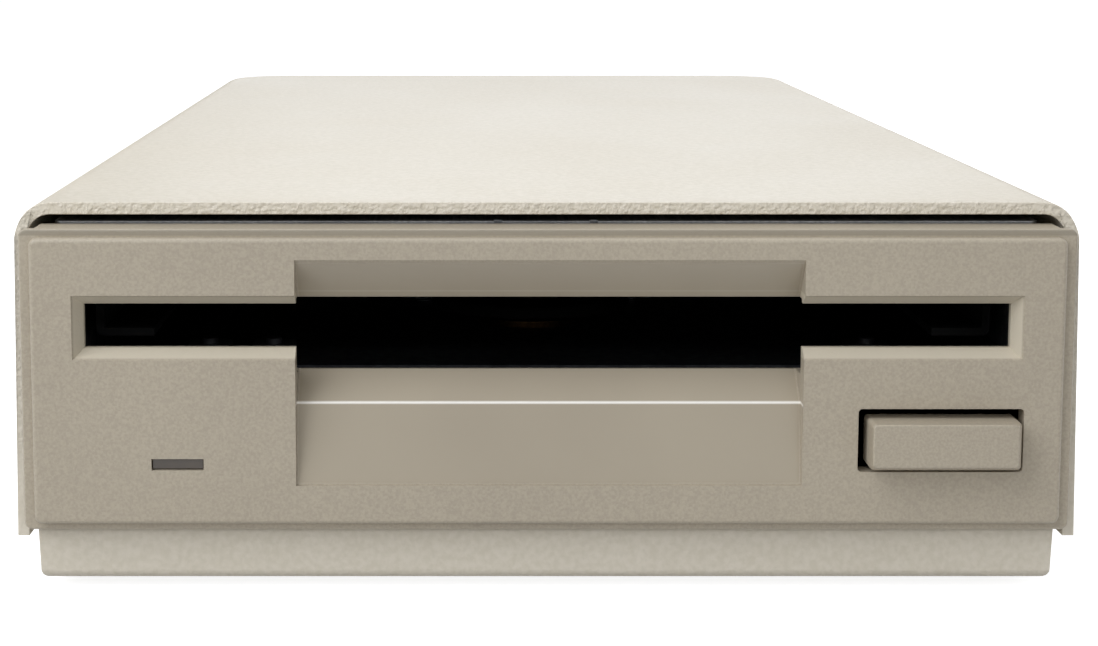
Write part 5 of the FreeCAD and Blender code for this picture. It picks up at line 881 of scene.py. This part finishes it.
share_of_turn = add(groove_tree, "ShaderNodeMath", {"operation": "DIVIDE"}, i0=angle, i1=math.tau)
turns_up = add(
    groove_tree, "ShaderNodeMath", {"operation": "DIVIDE"}, i0=parts.outputs["Z"],
    i1=given["Pitch"],
)
phase = add(
    groove_tree, "ShaderNodeMath", {"operation": "SUBTRACT"}, i0=turns_up, i1=share_of_turn,
)
wrapped = add(groove_tree, "ShaderNodeMath", {"operation": "FRACT"}, i0=phase)
centred = add(groove_tree, "ShaderNodeMath", {"operation": "SUBTRACT"}, i0=wrapped, i1=0.5)
away = add(groove_tree, "ShaderNodeMath", {"operation": "ABSOLUTE"}, i0=centred)
dip = add(
    groove_tree, "ShaderNodeMapRange", i0=away, i1=0.0, i2=given["Groove Half Width"], i3=1.0,
    i4=0.0,
)
after = add(
    groove_tree, "ShaderNodeMath", {"operation": "GREATER_THAN"}, i0=parts.outputs["Z"],
    i1=given["Thread Start"],
)
before = add(
    groove_tree, "ShaderNodeMath", {"operation": "LESS_THAN"}, i0=parts.outputs["Z"],
    i1=given["Thread End"],
)
cut_here = add(groove_tree, "ShaderNodeMath", {"operation": "MULTIPLY"}, i0=after, i1=before)
cut_dip = add(groove_tree, "ShaderNodeMath", {"operation": "MULTIPLY"}, i0=dip, i1=cut_here)
inward = add(
    groove_tree, "ShaderNodeMath", {"operation": "MULTIPLY"}, i0=cut_dip,
    i1=given["Groove Depth"],
)
relative = add(
    groove_tree, "ShaderNodeMath", {"operation": "DIVIDE"}, i0=inward, i1=given["Radius"],
)
radial = add(groove_tree, "ShaderNodeCombineXYZ", X=parts.outputs["X"], Y=parts.outputs["Y"])
push = add(groove_tree, "ShaderNodeVectorMath", {"operation": "SCALE"}, i0=radial, Scale=relative)
pull = add(groove_tree, "ShaderNodeVectorMath", {"operation": "SCALE"}, i0=push, Scale=-1.0)
grooved = add(groove_tree, "GeometryNodeSetPosition", Geometry=stood, Offset=pull)
collar = add(
    groove_tree, "GeometryNodeMeshCylinder", Vertices=40, Radius=given["Collar Radius"],
    Depth=given["Collar Length"],
)
collar_place = add(groove_tree, "ShaderNodeCombineXYZ", Z=given["Collar Start"])
set_collar = add(
    groove_tree, "GeometryNodeTransform", Geometry=collar.outputs["Mesh"],
    Translation=collar_place,
)
whole = add(groove_tree, "GeometryNodeJoinGeometry")
groove_tree.links.new(grooved.outputs[0], whole.inputs[0])
groove_tree.links.new(set_collar.outputs[0], whole.inputs[0])
close(groove_tree, whole, given["Metal"])
low, high = (corner / mm for corner in map(Vector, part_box("lead_screw")))
bearing_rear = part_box("screw_bearing")[1][1] / mm
motor_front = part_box("stepper_motor")[0][1] / mm
collar_gap, collar_length = 0.3, 1.5
collar_start = bearing_rear + collar_gap - low.y
run_in, run_out = 1.0, 2.0
lead_screw = grow(
    "lead_screw_grooved", groove_tree, groove_keys, bpy.data.meshes.new("lead_screw_start"),
    Radius=1.5 * mm, Length=(high.y - low.y) * mm, Pitch=3.75 * mm, Groove_Depth=0.4 * mm,
    Groove_Half_Width=0.16, Thread_Start=(collar_start + collar_length + run_in) * mm,
    Thread_End=(motor_front - run_out - low.y) * mm, Collar_Radius=(high.x - low.x) / 2 * mm,
    Collar_Start=(collar_start + collar_length / 2) * mm, Collar_Length=collar_length * mm,
    Metal=ground,
)
axis_start = Vector(((low.x + high.x) / 2, low.y, (low.z + high.z) / 2)) * mm
along_y = Matrix.Translation(axis_start) @ Matrix.Rotation(-math.pi / 2, 4, "X")
settle(lead_screw, "screw", "pin_steel", ground, "lead_screw", place=along_y)


# Stator coils: enamelled copper wire, amber brown and glossy, wound in level turns round each
# tooth of the stator. Every coil is one row of rounded loops with wire drawn round them.
enamelled_wire = worked(
    "enamelled_copper_wire", ("8A3E1C", "B8602C"), 0.25, (0.8, 0.8, 0.8), 0.002,
)
coil_tree = bpy.data.node_groups.new("coils_on_teeth", "GeometryNodeTree")
coil_keys = inputs(
    coil_tree, Coils="Int", Turns="Int", Inner_Radius="Float", Coil_Length="Float", Width="Float",
    Height="Float", Corner="Float", Wire_Radius="Float", Metal="Material",
)
given = add(coil_tree, "NodeGroupInput").outputs
loop = add(
    coil_tree, "GeometryNodeCurvePrimitiveQuadrilateral", Width=given["Height"],
    Height=given["Width"],
)
bent = add(
    coil_tree, "GeometryNodeFilletCurve", {"mode": "POLY"}, Curve=loop, Radius=given["Corner"],
    Count=3,
)
last = add(coil_tree, "ShaderNodeMath", {"operation": "SUBTRACT"}, i0=given["Turns"], i1=1.0)
spacing = add(
    coil_tree, "ShaderNodeMath", {"operation": "DIVIDE"}, i0=given["Coil Length"], i1=last,
)
start = add(coil_tree, "ShaderNodeCombineXYZ", X=given["Inner Radius"])
each = add(coil_tree, "ShaderNodeCombineXYZ", X=spacing)
line_up = add(
    coil_tree, "GeometryNodeMeshLine", Count=given["Turns"], Start_Location=start, Offset=each,
)
wound = add(
    coil_tree, "GeometryNodeInstanceOnPoints", Points=line_up, Instance=bent,
    Rotation=(0, math.pi / 2, 0),
)
round_hub = add(coil_tree, "GeometryNodeMeshLine", Count=given["Coils"], Offset=(0, 0, 0))
count_up = add(coil_tree, "GeometryNodeInputIndex")
part_turn = add(
    coil_tree, "ShaderNodeMath", {"operation": "DIVIDE"}, i0=math.tau, i1=given["Coils"],
)
at_angle = add(coil_tree, "ShaderNodeMath", {"operation": "MULTIPLY"}, i0=count_up, i1=part_turn)
about_z = add(coil_tree, "ShaderNodeCombineXYZ", Z=at_angle)
ring = add(
    coil_tree, "GeometryNodeInstanceOnPoints", Points=round_hub, Instance=wound,
    Rotation=about_z,
)
laid_out = add(coil_tree, "GeometryNodeRealizeInstances", Geometry=ring)
section = add(
    coil_tree, "GeometryNodeCurvePrimitiveCircle", Resolution=6, Radius=given["Wire Radius"],
)
wire = add(coil_tree, "GeometryNodeCurveToMesh", Curve=laid_out, Profile_Curve=section)
close(coil_tree, wire, given["Metal"])
coil_boxes = solids("stator_coils")
low, high = (corner / mm for corner in map(Vector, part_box("stator_coils")))
hub_low, hub_high = (corner / mm for corner in map(Vector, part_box("spindle_hub")))
spindle_y = (hub_low.y + hub_high.y) / 2
inner = min(
    low_corner.x for low_corner, high_corner in coil_boxes
    if low_corner.x > 0 and abs(low_corner.y + high_corner.y - 2 * spindle_y) < 1
)
tooth_low, tooth_high = next(box for box in coil_boxes if box[0].x == inner)
wire_radius, wire_turns, coil_corner = 0.22, 20, 0.5
coils = grow(
    "stator_windings", coil_tree, coil_keys, bpy.data.meshes.new("stator_windings_start"),
    Coils=len(coil_boxes), Turns=wire_turns, Inner_Radius=(inner + wire_radius) * mm,
    Coil_Length=(tooth_high.x - inner - 2 * wire_radius) * mm,
    Width=(tooth_high.y - tooth_low.y - 2 * wire_radius) * mm,
    Height=(high.z - low.z - 2 * wire_radius) * mm, Corner=coil_corner * mm,
    Wire_Radius=wire_radius * mm, Metal=enamelled_wire,
)
round_spindle = Matrix.Translation(Vector((0, spindle_y, (low.z + high.z) / 2)) * mm)
settle(coils, "root", "coil_wire", enamelled_wire, "stator_coils", place=round_spindle)


# Flat cables: grey vinyl ribbon with a rib over each of its wires, 1.27 mm apart, and the
# darker twin lead for the power beside it.
ribbon_vinyl = banded("grey_ribbon_vinyl", ("7E7F80", "A3A4A4"), "X", 1.27, 0.3, IOR=1.54)
lead_vinyl = banded("dark_lead_vinyl", ("2A2622", "3B3631"), "X", 2.0, 0.3, IOR=1.54)
dress(ribbon_vinyl, "ribbon_cable")
dress(lead_vinyl, "power_lead")
